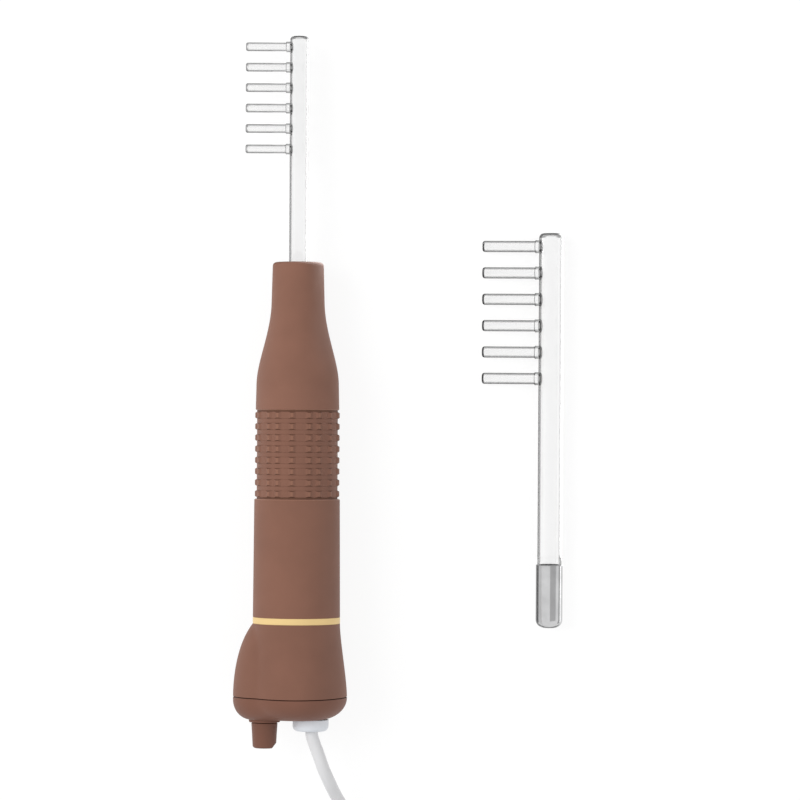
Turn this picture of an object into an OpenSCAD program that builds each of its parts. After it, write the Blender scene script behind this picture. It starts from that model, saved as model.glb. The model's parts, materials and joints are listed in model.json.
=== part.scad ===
// Violet ray machine: a hand-held wand that lies on a table, with a fitted
// glass comb electrode, a second larger comb beside it and a mains lead.
// The wand is drawn upright, with Z along its axis and Z = 0 at the bottom
// face of the base cover, and is then laid on its back.

/* [Handle] */
// Height of the end cover
cover_h = 11.5; // [10:0.5:14]
// Height of the flared base housing
base_h = 36.5; // [32:0.5:44]
// Height of the trim ring
ring_h = 3.3; // [2:0.1:5]
// Length of the barrel
barrel_len = 59; // [55:1:70]
// Length of the grip
grip_len = 44.4; // [40:0.2:60]
// Length of the neck and shoulder
neck_len = 74; // [70:0.2:90]
// Radius of the base at its rim
base_r = 25.5; // [25:0.1:28]
// Radius of the barrel at the trim ring
waist_r = 21.8; // [21.6:0.1:22.4]
// Radius of the barrel below the grip
barrel_top_r = 21.4; // [21.2:0.1:21.8]
// Radius of the shoulder above the grip
shoulder_r = 20.9; // [20.6:0.1:21.2]
// Radius of the neck where the shoulder starts
neck_r = 13.3; // [12.8:0.1:14]
// Radius of the neck at its mouth
mouth_r = 12.8; // [12:0.1:13.2]
// Wall of the moulded shells
wall = 2.4; // [2:0.1:2.8]

/* [Grip] */
// Radius of the sleeve between the blocks
grip_r = 20.2; // [19.8:0.1:20.6]
// Height of a block above the sleeve
block_h = 0.9; // [0.5:0.1:1]
// Width of a block's crest round the grip
block_w = 1.2; // [0.8:0.1:2]
// Width of a block's foot round the grip
block_foot = 4.2; // [3:0.1:4.6]
// Length of a block along the grip
block_len = 3.4; // [2.4:0.1:3.8]
// Height of the low band under each row of blocks
band_h = 0.25; // [0.1:0.05:0.4]
// Rows of blocks
block_rows = 8; // [5:1:9]
// Groups of three blocks in a row
block_groups = 6; // [4:2:8]
// Turn of the block pattern
block_turn = -6; // [-10:0.5:10]

/* [Base lobe] */
// Offset of the lobe from the wand axis
lobe_off = 14; // [13:0.1:15]
// Radius of the lobe at its rim
lobe_r = 17.5; // [17:0.1:18.5]
// Rounding of the cover's bottom edge, sideways
cover_round = 14; // [10:0.5:15]
// Rounding of the cover's bottom edge at the lobe, sideways
lobe_round = 9; // [7:0.5:13]
// Radius of the two cover screws
screw_r = 1.5; // [1.2:0.1:1.8]
// Distance of each cover screw from the wand axis
screw_pcr = 18.5; // [18:0.1:19]

/* [Knob] */
// Offset of the knob from the wand axis
knob_off = 15.7; // [15:0.1:16.5]
// Radius of the boss under the knob
boss_r = 7.8; // [7.2:0.1:8.5]
// Height of the boss
boss_h = 1.3; // [0.8:0.1:2]
// Radius of the knob at the boss
knob_r = 6.55; // [6:0.05:7.5]
// Radius of the knob at its end
knob_end_r = 5.9; // [5:0.1:7]
// Length of the knob
knob_len = 12.7; // [10:0.1:18]
// Radius of the adjusting screw
adjuster_r = 2; // [1.5:0.1:2.5]

/* [Socket and contact cap] */
// Radius of a contact cap
cap_r = 6.75; // [6.5:0.05:7]
// Length of a contact cap
cap_len = 32; // [28:0.5:32]
// Wall of a contact cap
cap_wall = 0.6; // [0.4:0.1:0.8]
// Wall of the socket sleeve
sleeve_wall = 2.2; // [1.6:0.1:2.4]
// Depth of the cap's rim below the mouth
cap_depth = 2.7; // [1:0.1:4]

/* [Fitted comb] */
// Length of glass above the mouth
comb_len = 113.2; // [90:0.2:140]
// Radius of the tube
comb_r = 4.65; // [4:0.05:5]
// Teeth
comb_teeth = 6; // [3:1:8]
// Spacing of the teeth
comb_pitch = 10.23; // [9:0.01:12]
// Distance of the first tooth from the tip
comb_first = 5.4; // [4:0.1:8]
// Reach of the teeth from the tube's axis
comb_reach = 26.7; // [20:0.1:35]
// Radius of a tooth
comb_tooth_r = 2.15; // [1.8:0.05:2.4]

/* [Large comb] */
// Distance of the large comb from the wand axis
large_off = 127; // [110:0.5:150]
// Length of glass above its cap
large_len = 167; // [140:1:190]
// Place of its cap's end above the wand's base
large_foot = 45; // [20:1:80]
// Radius of the tube
large_r = 6.1; // [5.7:0.05:6.1]
// Teeth
large_teeth = 6; // [3:1:8]
// Spacing of the teeth
large_pitch = 13.3; // [11:0.1:15]
// Distance of the first tooth from the tip
large_first = 6.8; // [5:0.1:9]
// Reach of the teeth from the tube's axis
large_reach = 34.7; // [28:0.1:42]
// Radius of a tooth
large_tooth_r = 2.8; // [2.4:0.05:3]

/* [Glass] */
// Wall of the glass tubes
glass_wall = 1; // [0.8:0.1:1.2]
// Thickening at the root of a tooth
weld_grow = 0.5; // [0.2:0.1:0.8]
// Length of the thickened root outside the tube
weld_len = 1.8; // [1:0.1:3]

/* [Works] */
// Radius of the coil former's tube
former_r = 7; // [6:0.1:8]
// Radius of the high-voltage winding
secondary_r = 12.3; // [11:0.1:12.6]
// Sections of the high-voltage winding
secondary_sections = 4; // [2:1:6]
// Radius of the capacitor
capacitor_r = 8; // [6:0.1:8.3]
// Length of the capacitor
capacitor_len = 34; // [24:1:38]
// Thickness of the chassis board
board_t = 2; // [1.5:0.1:2.5]
// Radius of the interrupter's coil
magnet_r = 6; // [5:0.1:6.4]
// Thickness of the reed
reed_t = 0.5; // [0.3:0.1:0.8]
// Gap between the reed and the magnet's pole
pole_gap = 1.2; // [1:0.1:2]

/* [Cord and plug] */
// Diameter of the cord
cord_d = 6.3; // [5.5:0.1:6.4]
// Radius of the collar round the cord
collar_r = 9; // [7.5:0.1:9.5]
// Length of the collar
collar_len = 5.8; // [4:0.1:8]
// Offset of the collar from the wand axis
collar_off = 7.4; // [6.5:0.1:8]
// Turns in each of the coil's two layers
coil_turns = 3; // [2:1:4]
// Clear gap between neighbouring turns
turn_gap = 0.6; // [0.5:0.1:1]
// Length of the plug's body
plug_len = 24; // [20:1:30]
// Width of the plug's body
plug_w = 25.4; // [23:0.1:28]
// Thickness of the plug's body
plug_t = 13.7; // [12:0.1:14]
// Radius of a plug pin
pin_r = 2; // [1.9:0.05:2.4]
// Length of a plug pin
pin_len = 19; // [17:0.5:20]
// Spacing of the plug pins
pin_gap = 18.6; // [17.5:0.1:19]

/* [Fits] */
// Gap between pieces that only lie close together
close_gap = 0.3; // [0.2:0.05:0.4]
// Radial gap of a push fit between fixed pieces
push_gap = 0.15; // [0.05:0.05:0.2]
// Radial gap of a running fit
run_gap = 0.08; // [0.02:0.01:0.1]

/* [Hidden] */
$fn = 48;

brown = "#866253";
dark_brown = "#79543f";
gold = "#e5c889";
steel = "#a8abb0";
brass = "#c9a24e";
copper = "#b5673a";
phenolic = "#6b4a2e";
pale_grey = "#d2d6d9";
cord_white = "#dcdcde";
black = "#2b2b2d";
clear_glass = [0.85, 0.9, 0.93, 0.45];
eps = 0.02;
lead_r = cord_d / 2;
arc_steps = 6;
curve_steps = 12;

// Heights along the wand
base_top = cover_h + base_h;
barrel_foot = base_top + ring_h;
grip_foot = barrel_foot + barrel_len;
grip_top = grip_foot + grip_len;
mouth_z = grip_top + neck_len;
knob_top = -boss_h - close_gap;
knob_end = knob_top - knob_len;
comb_tip = mouth_z + comb_len;
cap_foot = mouth_z - cap_depth - cap_len;

// Radii inside the shells
core_wall = 2.3;
sleeve_t = 1.9;
core_r = grip_r - sleeve_t;
core_bore = core_r - core_wall;
barrel_bore = barrel_top_r - wall;
spigot_r = barrel_bore - push_gap;
spigot_bore = spigot_r - wall;
spigot_h = 10;
shelf_t = 3;
shelf_bore = 13.5;
core_lip = 4;

// The wand rests on the base's rim and on the last row of blocks
block_first = 2.6;
block_slope = 0.5;
block_steps = [0, -21, -36];
block_pitch = (grip_len - 2 * block_first) / (block_rows - 1);
block_r = grip_r + block_h;
rest_z = grip_foot + block_first + (block_rows - 1) * block_pitch + block_len / 2 - block_slope;
rest_r = block_r * cos(block_turn);
tilt = atan((base_r - rest_r) / (rest_z - cover_h));
lift = base_r * cos(tilt) + cover_h * sin(tilt);

// Rounded ends, and the place of the wand about the middle of the whole set
knob_round = 1.5;
tip_round = 1.8;
lobe_reach = lobe_off + lobe_r;
wand_x = (lobe_reach - large_off - cap_r) / 2;
top_y = comb_tip * cos(tilt) + (comb_r - tip_round) * sin(tilt);
bottom_y = knob_end * cos(tilt) - (knob_end_r - knob_round) * sin(tilt);
wand_y = -(top_y + bottom_y) / 2;

function bezier(a, b, c, d, steps = curve_steps) = [
  for (i = [0:steps]) let (t = i / steps, s = 1 - t)
    s * s * s * a + 3 * s * s * t * b + 3 * s * t * t * c + t * t * t * d
];

// Quarter round of the given half sizes about a centre, from the side to the top
function quarter(centre, rx, ry) = [
  for (i = [0:arc_steps]) let (a = 90 * i / arc_steps) centre + [rx * cos(a), ry * sin(a)]
];

module laid() {
  translate([wand_x, wand_y, lift])
    rotate([-90 - tilt, 0, 0])
      children();
}

module tube(r_out, r_in, low, high) {
  translate([0, 0, low])
    difference() {
      cylinder(r = r_out, h = high - low);
      translate([0, 0, -eps]) cylinder(r = r_in, h = high - low + 2 * eps);
    }
}

module rod(r, low, high) {
  translate([0, 0, low]) cylinder(r = r, h = high - low);
}

// Block between two corners
module block(low, high) {
  translate(low) cube(high - low);
}

// Neck and shoulder

mouth_round = 2;
neck_straight = 20.7;
shoulder_len = 13.3;
shoulder_taper = 0.3;
sweep_top = mouth_z - neck_straight;
sweep_foot = grip_top + shoulder_len;
sweep_r = shoulder_r - shoulder_taper;
low_pull = [-0.25, 11.5];
high_pull = [0.45, -15.2];
sleeve_bore = cap_r + run_gap;
sleeve_r = sleeve_bore + sleeve_wall;
sleeve_top = mouth_z - cap_depth;
mouth_bore = cap_r + 0.45;
mouth_bevel = 0.8;
sleeve_lip = 2.8;
flange_r = sleeve_r + sleeve_lip;
flange_t = 2.5;
cup_h = 3.2;
sleeve_foot = cap_foot - close_gap - cup_h - flange_t;
cavity_r = core_bore;
cavity_top_r = flange_r + close_gap;
cavity_taper = 12;
cavity_step = grip_top + core_lip;

module neck_housing() {
  low = [sweep_r, sweep_foot];
  high = [neck_r, sweep_top];
  sweep = bezier(low, low + low_pull, high + high_pull, high);
  mouth = quarter([mouth_r - mouth_round, mouth_z - mouth_round], mouth_round, mouth_round);
  outline = concat([[0, grip_top], [shoulder_r, grip_top]], sweep, mouth, [[0, mouth_z]]);
  color(brown) laid() difference() {
    rotate_extrude() polygon(outline);
    rod(core_r + push_gap, grip_top - eps, cavity_step + close_gap);
    rotate_extrude()
      polygon([[0, cavity_step], [cavity_r, cavity_step], [cavity_r, sleeve_foot - cavity_taper],
               [cavity_top_r, sleeve_foot + flange_t], [0, sleeve_foot + flange_t]]);
    rod(sleeve_r + push_gap, sleeve_foot, sleeve_top);
    rod(mouth_bore, sleeve_foot, mouth_z + eps);
    translate([0, 0, mouth_z - mouth_bevel])
      cylinder(r1 = mouth_bore, r2 = mouth_bore + mouth_bevel, h = mouth_bevel + eps);
  }
}

// Grip with rows of sloped blocks, each row on a low band

module at_rows() {
  for (row = [0:block_rows - 1])
    translate([0, 0, grip_foot + block_first + row * block_pitch]) children();
}

module grip_sleeve() {
  half = block_len / 2;
  ridge = [[0, -half], [grip_r, -half], [block_r, block_slope - half],
           [block_r, half - block_slope], [grip_r, half], [0, half]];
  crest = [[core_r + 1, -block_foot / 2], [grip_r, -block_foot / 2], [block_r, -block_w / 2],
           [block_r + 1, -block_w / 2], [block_r + 1, block_w / 2], [block_r, block_w / 2],
           [grip_r, block_foot / 2], [core_r + 1, block_foot / 2]];
  color(brown) laid() difference() {
    union() {
      rod(grip_r, grip_foot, grip_top);
      at_rows() rod(grip_r + band_h, -half, half);
      intersection() {
        at_rows() rotate_extrude() polygon(ridge);
        for (group = [0:block_groups - 1], step = block_steps)
          rotate(block_turn - 90 + step + group * 360 / block_groups)
            translate([0, 0, grip_foot]) linear_extrude(grip_len) polygon(crest);
      }
    }
    rod(core_r + push_gap, grip_foot - eps, grip_top + eps);
  }
}

// Barrel with the core tube that carries the grip and enters the neck

core_root = 4.3;

module barrel_housing() {
  step_z = grip_foot - core_root;
  outline = [[core_bore, step_z], [core_bore, cavity_step], [core_r, cavity_step],
             [core_r, grip_foot], [barrel_top_r, grip_foot], [waist_r, barrel_foot],
             [barrel_bore, barrel_foot], [barrel_bore, step_z]];
  color(brown) laid() rotate_extrude() polygon(outline);
}

module trim_ring() {
  color(gold) laid() tube(waist_r, spigot_r + push_gap, base_top, barrel_foot);
}

// Base: a round flare with a side lobe. Both are drawn in by an inset for the inside.

flare_low_pull = 8.5;
flare_high_pull = 8;
lobe_low_pull = 13.5;
lobe_high_pull = 8.5;
lobe_lean = 6.7;

module flare_form(inset, low, high) {
  curve = bezier([base_r - inset, cover_h], [base_r - inset, cover_h + flare_low_pull],
                 [waist_r - inset, base_top - flare_high_pull], [waist_r - inset, base_top]);
  intersection() {
    rotate_extrude() polygon(concat([[0, cover_h]], curve, [[0, base_top]]));
    rod(2 * base_r, low, high);
  }
}

module lobe_form(inset, low, high) {
  tip_r = waist_r - lobe_off;
  curve = bezier([lobe_r - inset, cover_h], [lobe_r - inset, cover_h + lobe_low_pull],
                 [tip_r + lobe_lean - inset, base_top - lobe_high_pull], [tip_r - inset, base_top]);
  intersection() {
    translate([-lobe_off, 0, 0])
      rotate_extrude() polygon(concat([[0, cover_h]], curve, [[0, base_top]]));
    rod(2 * base_r, low, high);
  }
}

screw_turns = [60, 120];

module at_screws() {
  for (turn = screw_turns)
    rotate(turn) translate([screw_pcr, 0, 0]) children();
}

post_r = 3.4;
post_h = 24.5;
post_top = cover_h + post_h;
post_floor = 2;
shelf_foot = base_top - shelf_t;

module base_housing() {
  color(brown) laid() difference() {
    union() {
      difference() {
        union() {
          flare_form(0, cover_h, base_top);
          lobe_form(0, cover_h, base_top);
        }
        flare_form(wall, cover_h - eps, shelf_foot);
        lobe_form(wall, cover_h - eps, shelf_foot);
      }
      rod(spigot_r, base_top - eps, base_top + spigot_h);
      at_screws() rod(post_r, cover_h, post_top);
    }
    rod(shelf_bore, shelf_foot - eps, base_top);
    rod(spigot_bore, base_top, base_top + spigot_h + eps);
    at_screws() rod(screw_r + push_gap, cover_h - eps, post_top - post_floor);
  }
}

cover_inner_round = cover_round - wall;
lobe_inner_round = lobe_round - wall;
flare_side = 0.5;
lobe_side = 1.5;
lip_gap = 0.35;
lip_t = 1.5;
lip_h = 3;
lip_root = 4.5;
seat_wall = 0.8;
screw_seat = 5;
head_r = 2.75;
head_h = 2.4;
slot_w = 0.8;
slot_deep = 0.9;
boss_deep = wall + 0.5;
bush_r = 4;
bush_flange_r = 6;
collar_neck_r = 4.6;
collar_flange_r = 6;
collar_flange_t = 2;
rib_half = 11;
rib_t = 3;
rib_top = 16;

// A bowl with a straight side under the seam and a rounded bottom edge
module bowl(centre_x, r, side, round_x, floor_z) {
  side_z = cover_h - side;
  bottom = [for (p = quarter([0, 0], round_x, side_z - floor_z))
    [r - round_x + p[0], side_z - p[1]]];
  translate([centre_x, 0, 0])
    rotate_extrude() polygon(concat([[0, cover_h], [r, cover_h]], bottom, [[0, floor_z]]));
}

module lip_outline(inset) {
  circle(r = base_r - wall - inset);
  translate([-lobe_off, 0]) circle(r = lobe_r - wall - inset);
}

// End cover with the boss of the knob, the seats of the screws and a locating lip
module base_cover() {
  color(dark_brown) laid() difference() {
    union() {
      difference() {
        union() {
          bowl(0, base_r, flare_side, cover_round, 0);
          bowl(-lobe_off, lobe_r, lobe_side, lobe_round, 0);
        }
        bowl(0, base_r - wall, flare_side, cover_inner_round, wall);
        bowl(-lobe_off, lobe_r - wall, lobe_side, lobe_inner_round, wall);
      }
      translate([0, 0, cover_h - lip_root])
        linear_extrude(lip_h + lip_root) difference() {
          lip_outline(lip_gap);
          lip_outline(lip_gap + lip_t);
        }
      translate([-knob_off, 0, 0]) rod(boss_r, -boss_h, boss_deep);
      intersection() {
        at_screws() rod(post_r + seat_wall, 0, cover_h);
        bowl(0, base_r, flare_side, cover_round, 0);
      }
      difference() {
        block([collar_off - rib_half, lead_r + close_gap, wall / 2],
              [collar_off + rib_half, lead_r + rib_t, rib_top]);
        translate([collar_off, 0, 0])
          rod(collar_flange_r + close_gap, 0, wall + collar_flange_t + close_gap);
      }
    }
    translate([-knob_off, 0, 0]) rod(bush_r + push_gap, -boss_h - eps, cover_h);
    translate([collar_off, 0, 0]) rod(collar_neck_r + push_gap, -eps, wall + eps);
    at_screws() rod(screw_r + push_gap, -eps, cover_h + eps);
    at_screws() rod(head_r + close_gap, -eps, screw_seat);
    at_screws() rod(post_r + close_gap, cover_h, cover_h + lip_h + eps);
  }
}

module cover_screws() {
  color(steel) laid() at_screws() difference() {
    union() {
      rod(head_r, screw_seat - head_h, screw_seat);
      rod(screw_r, screw_seat - eps, post_top - 2 * post_floor);
    }
    block([-head_r, -slot_w / 2, screw_seat - head_h - eps],
          [head_r, slot_w / 2, screw_seat - head_h + slot_deep]);
  }
}

// Regulator: knob, adjusting screw and its bush

reed_z = 28.3;
contact_r = 1.4;
contact_h = 0.6;
adjuster_top = reed_z - contact_h - close_gap;
adjuster_tip = 1;
knob_bore_top = knob_end + 3;
knob_step = [0.25, 4];
facet_in = 2.2;
facet_lean = 40;
facet_size = 6;
bush_out = 1;
bush_flange_t = 2;

module knob() {
  side = [[knob_r, knob_top], [knob_r, knob_top] - knob_step, [knob_end_r, knob_end + knob_round]];
  corner = [for (p = quarter([0, 0], knob_round, knob_round))
    [knob_end_r - knob_round + p[0], knob_end + knob_round - p[1]]];
  color(dark_brown) laid() translate([-knob_off, 0, 0]) difference() {
    rotate_extrude() polygon(concat([[0, knob_top]], side, corner, [[0, knob_end]]));
    rod(adjuster_r, knob_bore_top, knob_top + eps);
    translate([knob_end_r - facet_in, 0, knob_end])
      rotate([0, facet_lean, 0])
        block([0, -knob_r, -facet_size], [facet_size, knob_r, facet_size]);
  }
}

module adjusting_screw() {
  color(brass) laid() translate([-knob_off, 0, 0]) {
    rod(adjuster_r, knob_bore_top, adjuster_top - adjuster_tip);
    rod(contact_r, adjuster_top - adjuster_tip - eps, adjuster_top);
  }
}

module knob_bush() {
  bush_top = cover_h + bush_out;
  color(brass) laid() translate([-knob_off, 0, 0]) difference() {
    union() {
      rod(bush_r, -boss_h, bush_top);
      rod(bush_flange_r, boss_deep, boss_deep + bush_flange_t);
    }
    rod(adjuster_r + run_gap, -boss_h - eps, bush_top + eps);
  }
}

// Cord entry

lead_top = 20;
collar_round = 2.8;

module strain_relief() {
  rounded = [for (p = quarter([collar_r - collar_round, 0], collar_round, collar_round))
    [p[0], collar_round - collar_len - p[1]]];
  color(pale_grey) laid() translate([collar_off, 0, 0]) {
    rotate_extrude() polygon(concat([[0, 0], [collar_r, 0]], rounded, [[0, -collar_len]]));
    rod(collar_neck_r, -eps, wall + eps);
    rod(collar_flange_r, wall, wall + collar_flange_t);
  }
}

module inner_lead() {
  color(cord_white) laid()
    translate([collar_off, 0, 0]) rod(lead_r, wall + collar_flange_t, lead_top);
}

clamp_t = 3;
clamp_low = 8;
clamp_high = 13.5;
clamp_half = 9;
clamp_screw_off = 6.2;
clamp_screw_r = 1.2;
clamp_head_r = 2.3;
clamp_head_h = 1.6;
clamp_mid = (clamp_low + clamp_high) / 2;

module cord_clamp() {
  front = -lead_r - close_gap;
  color(black) laid() difference() {
    block([collar_off - clamp_half, front - clamp_t, clamp_low],
          [collar_off + clamp_half, front, clamp_high]);
    for (side = [-1, 1])
      translate([collar_off + side * clamp_screw_off, 0, clamp_mid])
        rotate([90, 0, 0]) cylinder(r = clamp_screw_r + push_gap, h = 2 * (clamp_t - front));
  }
}

module clamp_screws() {
  front = -lead_r - close_gap - clamp_t;
  color(steel) laid() for (side = [-1, 1])
    translate([collar_off + side * clamp_screw_off, front, clamp_mid])
      rotate([-90, 0, 0]) {
        rod(clamp_head_r, -clamp_head_h, 0);
        rod(clamp_screw_r, -eps, clamp_t + 2 * lead_r + 2 * close_gap);
      }
}

// Socket

module socket_sleeve() {
  color(phenolic) laid() difference() {
    union() {
      rod(sleeve_r, sleeve_foot, sleeve_top);
      rod(flange_r, sleeve_foot, sleeve_foot + flange_t);
    }
    rod(sleeve_bore, sleeve_foot - eps, sleeve_top + eps);
  }
}

stud_r = 2;
stud_len = 6;
cup_r = cap_r - 0.1;
cup_deep = 1.6;
cup_rim = 0.8;
cup_foot = sleeve_foot + flange_t;

module contact_cup() {
  color(brass) laid() difference() {
    union() {
      rod(cup_r, sleeve_foot, cup_foot + cup_h);
      rod(stud_r, sleeve_foot - stud_len, sleeve_foot + eps);
    }
    translate([0, 0, cup_foot + cup_h - cup_deep])
      cylinder(r1 = stud_r, r2 = cup_r - cup_rim, h = cup_deep + eps);
  }
}

// Combs. Z = 0 is the end of the contact cap, the teeth point to -X.

cap_bore = cap_r - cap_wall;
root_r = cap_bore - 0.05;
cap_floor = 3.2;
cap_dome = 4.2;
root_taper = 3;
weld_taper = 0.3;
tooth_share = 0.45;
inner_round = 0.2;

module contact_cap() {
  dome = [for (p = quarter([0, 0], cap_dome, cap_dome))
    [cap_r - cap_dome + p[0], cap_dome - p[1]]];
  difference() {
    rotate_extrude() polygon(concat([[0, cap_len], [cap_r, cap_len]], dome, [[0, 0]]));
    rod(cap_bore, cap_floor, cap_len + eps);
  }
}

// Tube, or the space inside it when drawn in by the wall
module comb_tube(r, tip, rounding, flare_z, inset, foot) {
  root = [root_r - inset, foot];
  narrowed = [[root_r - inset, flare_z - root_taper], [r - inset, flare_z]];
  side = root_r - r < eps ? [root] : concat([root], narrowed);
  corner = quarter([r - rounding, tip - rounding], rounding - inset, rounding - inset);
  rotate_extrude() polygon(concat([[0, foot]], side, corner, [[0, tip - inset]]));
}

module comb_tooth(r, reach, tube_r, inset) {
  rounding = max(r * tooth_share - inset, inner_round);
  root = tube_r + weld_len - inset;
  tip = quarter([r - inset - rounding, reach - inset - rounding], rounding, rounding);
  outline = concat([[0, 0], [r + weld_grow - inset, 0], [r + weld_grow - inset, root],
                    [r - inset, root + weld_taper]], tip, [[0, reach - inset]]);
  rotate([0, -90, 0]) rotate_extrude() polygon(outline);
}

module comb_glass(r, tip, rounding, first, pitch, teeth, reach, tooth_r) {
  foot = cap_floor + close_gap;
  flare_z = cap_len + cap_depth - close_gap;
  heights = [for (i = [0:teeth - 1]) tip - first - i * pitch];
  difference() {
    union() {
      comb_tube(r, tip, rounding, flare_z, 0, foot);
      for (z = heights) translate([0, 0, z]) comb_tooth(tooth_r, reach, r, 0);
    }
    comb_tube(r, tip, rounding, flare_z, glass_wall, foot - eps);
    for (z = heights) translate([0, 0, z]) comb_tooth(tooth_r, reach, r, glass_wall);
  }
}

module electrode_glass() {
  color(clear_glass) laid() translate([0, 0, cap_foot])
    comb_glass(comb_r, comb_tip - cap_foot, tip_round, comb_first, comb_pitch, comb_teeth,
               comb_reach, comb_tooth_r);
}

module electrode_cap() {
  color(steel) laid() translate([0, 0, cap_foot]) contact_cap();
}

// The large comb lies on its cap and on the ends of its teeth
large_roll = asin((cap_r - large_tooth_r) / large_reach);
large_round = 2.4;

module beside() {
  translate([wand_x + large_off, wand_y + large_foot, cap_r])
    rotate([-90, 0, 0]) rotate(-large_roll) children();
}

module spare_glass() {
  color(clear_glass) beside()
    comb_glass(min(large_r, root_r), cap_len + large_len, large_round, large_first, large_pitch,
               large_teeth, large_reach, large_tooth_r);
}

module spare_cap() {
  color(steel) beside() contact_cap();
}

// Resonance coil

former_foot = grip_foot + 3.7;
former_flange = 2.3;
former_top = sleeve_foot;
cheek_off = 8.3;
cheek_t = 2;
winding_room = 2;
winding_low = former_foot + former_flange + winding_room;
winding_high = former_top - cheek_off - cheek_t - winding_room;
section_len = (winding_high - winding_low) / secondary_sections;
groove_w = 1.2;
groove_floor = 2.5;
primary_t = 1.6;

module hv_former() {
  color(phenolic) laid() difference() {
    union() {
      rod(former_r, former_foot, former_top);
      rod(core_bore - close_gap, former_foot, former_foot + former_flange);
      rod(secondary_r, former_top - cheek_off - cheek_t, former_top - cheek_off);
      rod(flange_r - push_gap, former_top - former_flange, former_top);
    }
    rod(stud_r + push_gap, former_foot - eps, former_top + eps);
  }
}

module hv_secondary() {
  floor_r = former_r + groove_floor;
  steps = [for (i = [0:secondary_sections - 1])
    let (low = winding_low + i * section_len, high = low + section_len - groove_w)
      each [[floor_r, low], [secondary_r, low], [secondary_r, high], [floor_r, high]]];
  color(copper) laid()
    rotate_extrude() polygon(concat([[former_r + push_gap, winding_low]], steps,
                                    [[former_r + push_gap, winding_high - groove_w]]));
}

module hv_primary() {
  inner = secondary_r + push_gap;
  color(copper) laid()
    tube(inner + primary_t, inner, winding_low, winding_low + section_len - groove_w);
}

// Chassis, capacitor and interrupter

board_y = 9;
board_half = sqrt(core_bore ^ 2 - (board_y + board_t) ^ 2) - close_gap;
board_foot = base_top;
capacitor_y = board_y - close_gap - capacitor_r;
capacitor_rise = 25;
capacitor_foot = board_foot + capacitor_rise;
tag_r = 0.5;
tag_len = 4;
strap_w = 6;
strap_t = 0.6;
strap_ear = 3;
ear_t = 0.8;
frame_left = -8;
frame_right = 9;
frame_t = 2;
frame_rise = 20;
arm_t = 3;
arm_front = -4;
arm_right = 2;
core_x = -4;
magnet_core_r = 2.6;
pole_z = reed_z + reed_t + pole_gap;
arm_z = base_top + 2;
post_x = 4.5;
reed_half = 2.5;
reed_end = -knob_off - 2.6;
clamp_plate_t = 2;
post_t = 6;
bobbin_room = 1.5;

module chassis_board() {
  color(phenolic) laid()
    block([-board_half, board_y, board_foot], [board_half, board_y + board_t, former_foot]);
}

module capacitor() {
  color("#8a6a35") laid() translate([0, capacitor_y, capacitor_foot]) {
    rod(capacitor_r, 0, capacitor_len);
    for (end = [-tag_len, capacitor_len - eps]) rod(tag_r, end, end + tag_len + eps);
  }
}

module capacitor_clip() {
  low = capacitor_foot + (capacitor_len - strap_w) / 2;
  gap_r = capacitor_r + push_gap;
  half = gap_r + strap_ear;
  color(steel) laid() translate([0, 0, low]) difference() {
    union() {
      translate([0, capacitor_y, 0]) rod(gap_r + strap_t, 0, strap_w);
      block([-half, board_y - ear_t, 0], [half, board_y, strap_w]);
    }
    translate([0, capacitor_y, 0]) rod(gap_r, -eps, strap_w + eps);
    block([-2 * half, board_y, -eps], [2 * half, board_y + gap_r, strap_w + eps]);
  }
}

module interrupter_frame() {
  back = board_y - frame_t;
  color(steel) laid() {
    block([frame_left, back, reed_z - close_gap - clamp_plate_t],
          [frame_right, board_y, base_top + frame_rise]);
    block([frame_left, arm_front, arm_z], [arm_right, back + eps, arm_z + arm_t]);
    block([post_x, -reed_half, reed_z + reed_t + close_gap],
          [frame_right, back + eps, reed_z + post_t]);
  }
}

module interrupter_core() {
  color(steel) laid() translate([core_x, 0, 0]) rod(magnet_core_r, pole_z, arm_z);
}

module interrupter_coil() {
  color(copper) laid() translate([core_x, 0, 0])
    tube(magnet_r, magnet_core_r + push_gap, pole_z + bobbin_room, arm_z - close_gap);
}

module reed() {
  color("#d8dade") laid() {
    block([reed_end, -reed_half, reed_z], [frame_right, reed_half, reed_z + reed_t]);
    translate([-knob_off, 0, 0]) rod(contact_r, reed_z - contact_h, reed_z + eps);
  }
}

module reed_clamp() {
  top = reed_z - close_gap;
  color(steel) laid()
    block([post_x, -reed_half - 1, top - clamp_plate_t], [frame_right, board_y - frame_t, top]);
}

// Two wires: from the lead to the capacitor, and from the lead to the capacitor's far end
wire_r = 0.8;
wire_sides = 8;
wire_apart = 1.4;
live_bend = [12.2, -3, 6.5];
live_run = [10.5, -7, 19.5];
live_stop = 12;
live_end = [2, -2, -3];
neutral_drop = 1.5;
neutral_bend = [6, -7, 5.5];
neutral_run = [5, -11, 15.5];
neutral_stop = 2.5;
neutral_end = [1.6, -1.8, 2.8];

module hookup_wires() {
  capacitor_top = capacitor_foot + capacitor_len;
  start = [0, 0, lead_top + wire_r];
  live = [start + [collar_off + wire_apart, 0, 0], start + live_bend, start + live_run,
          [live_run[0], live_run[1], capacitor_foot - live_stop],
          live_end + [0, capacitor_y, capacitor_foot]];
  neutral = [start + [collar_off - wire_apart, -neutral_drop, 0], start + neutral_bend, start + neutral_run,
             [neutral_run[0], neutral_run[1], capacitor_top + neutral_stop],
             neutral_end + [0, capacitor_y, capacitor_top]];
  color("#b03a2e") laid() swept(live, wire_r, wire_sides, [0, 1, 0]);
  color("#2e5fa3") laid() swept(neutral, wire_r, wire_sides, [1, 0, 0]);
}

// Cord. Its route is measured from the wand's base, on the table.

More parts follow.
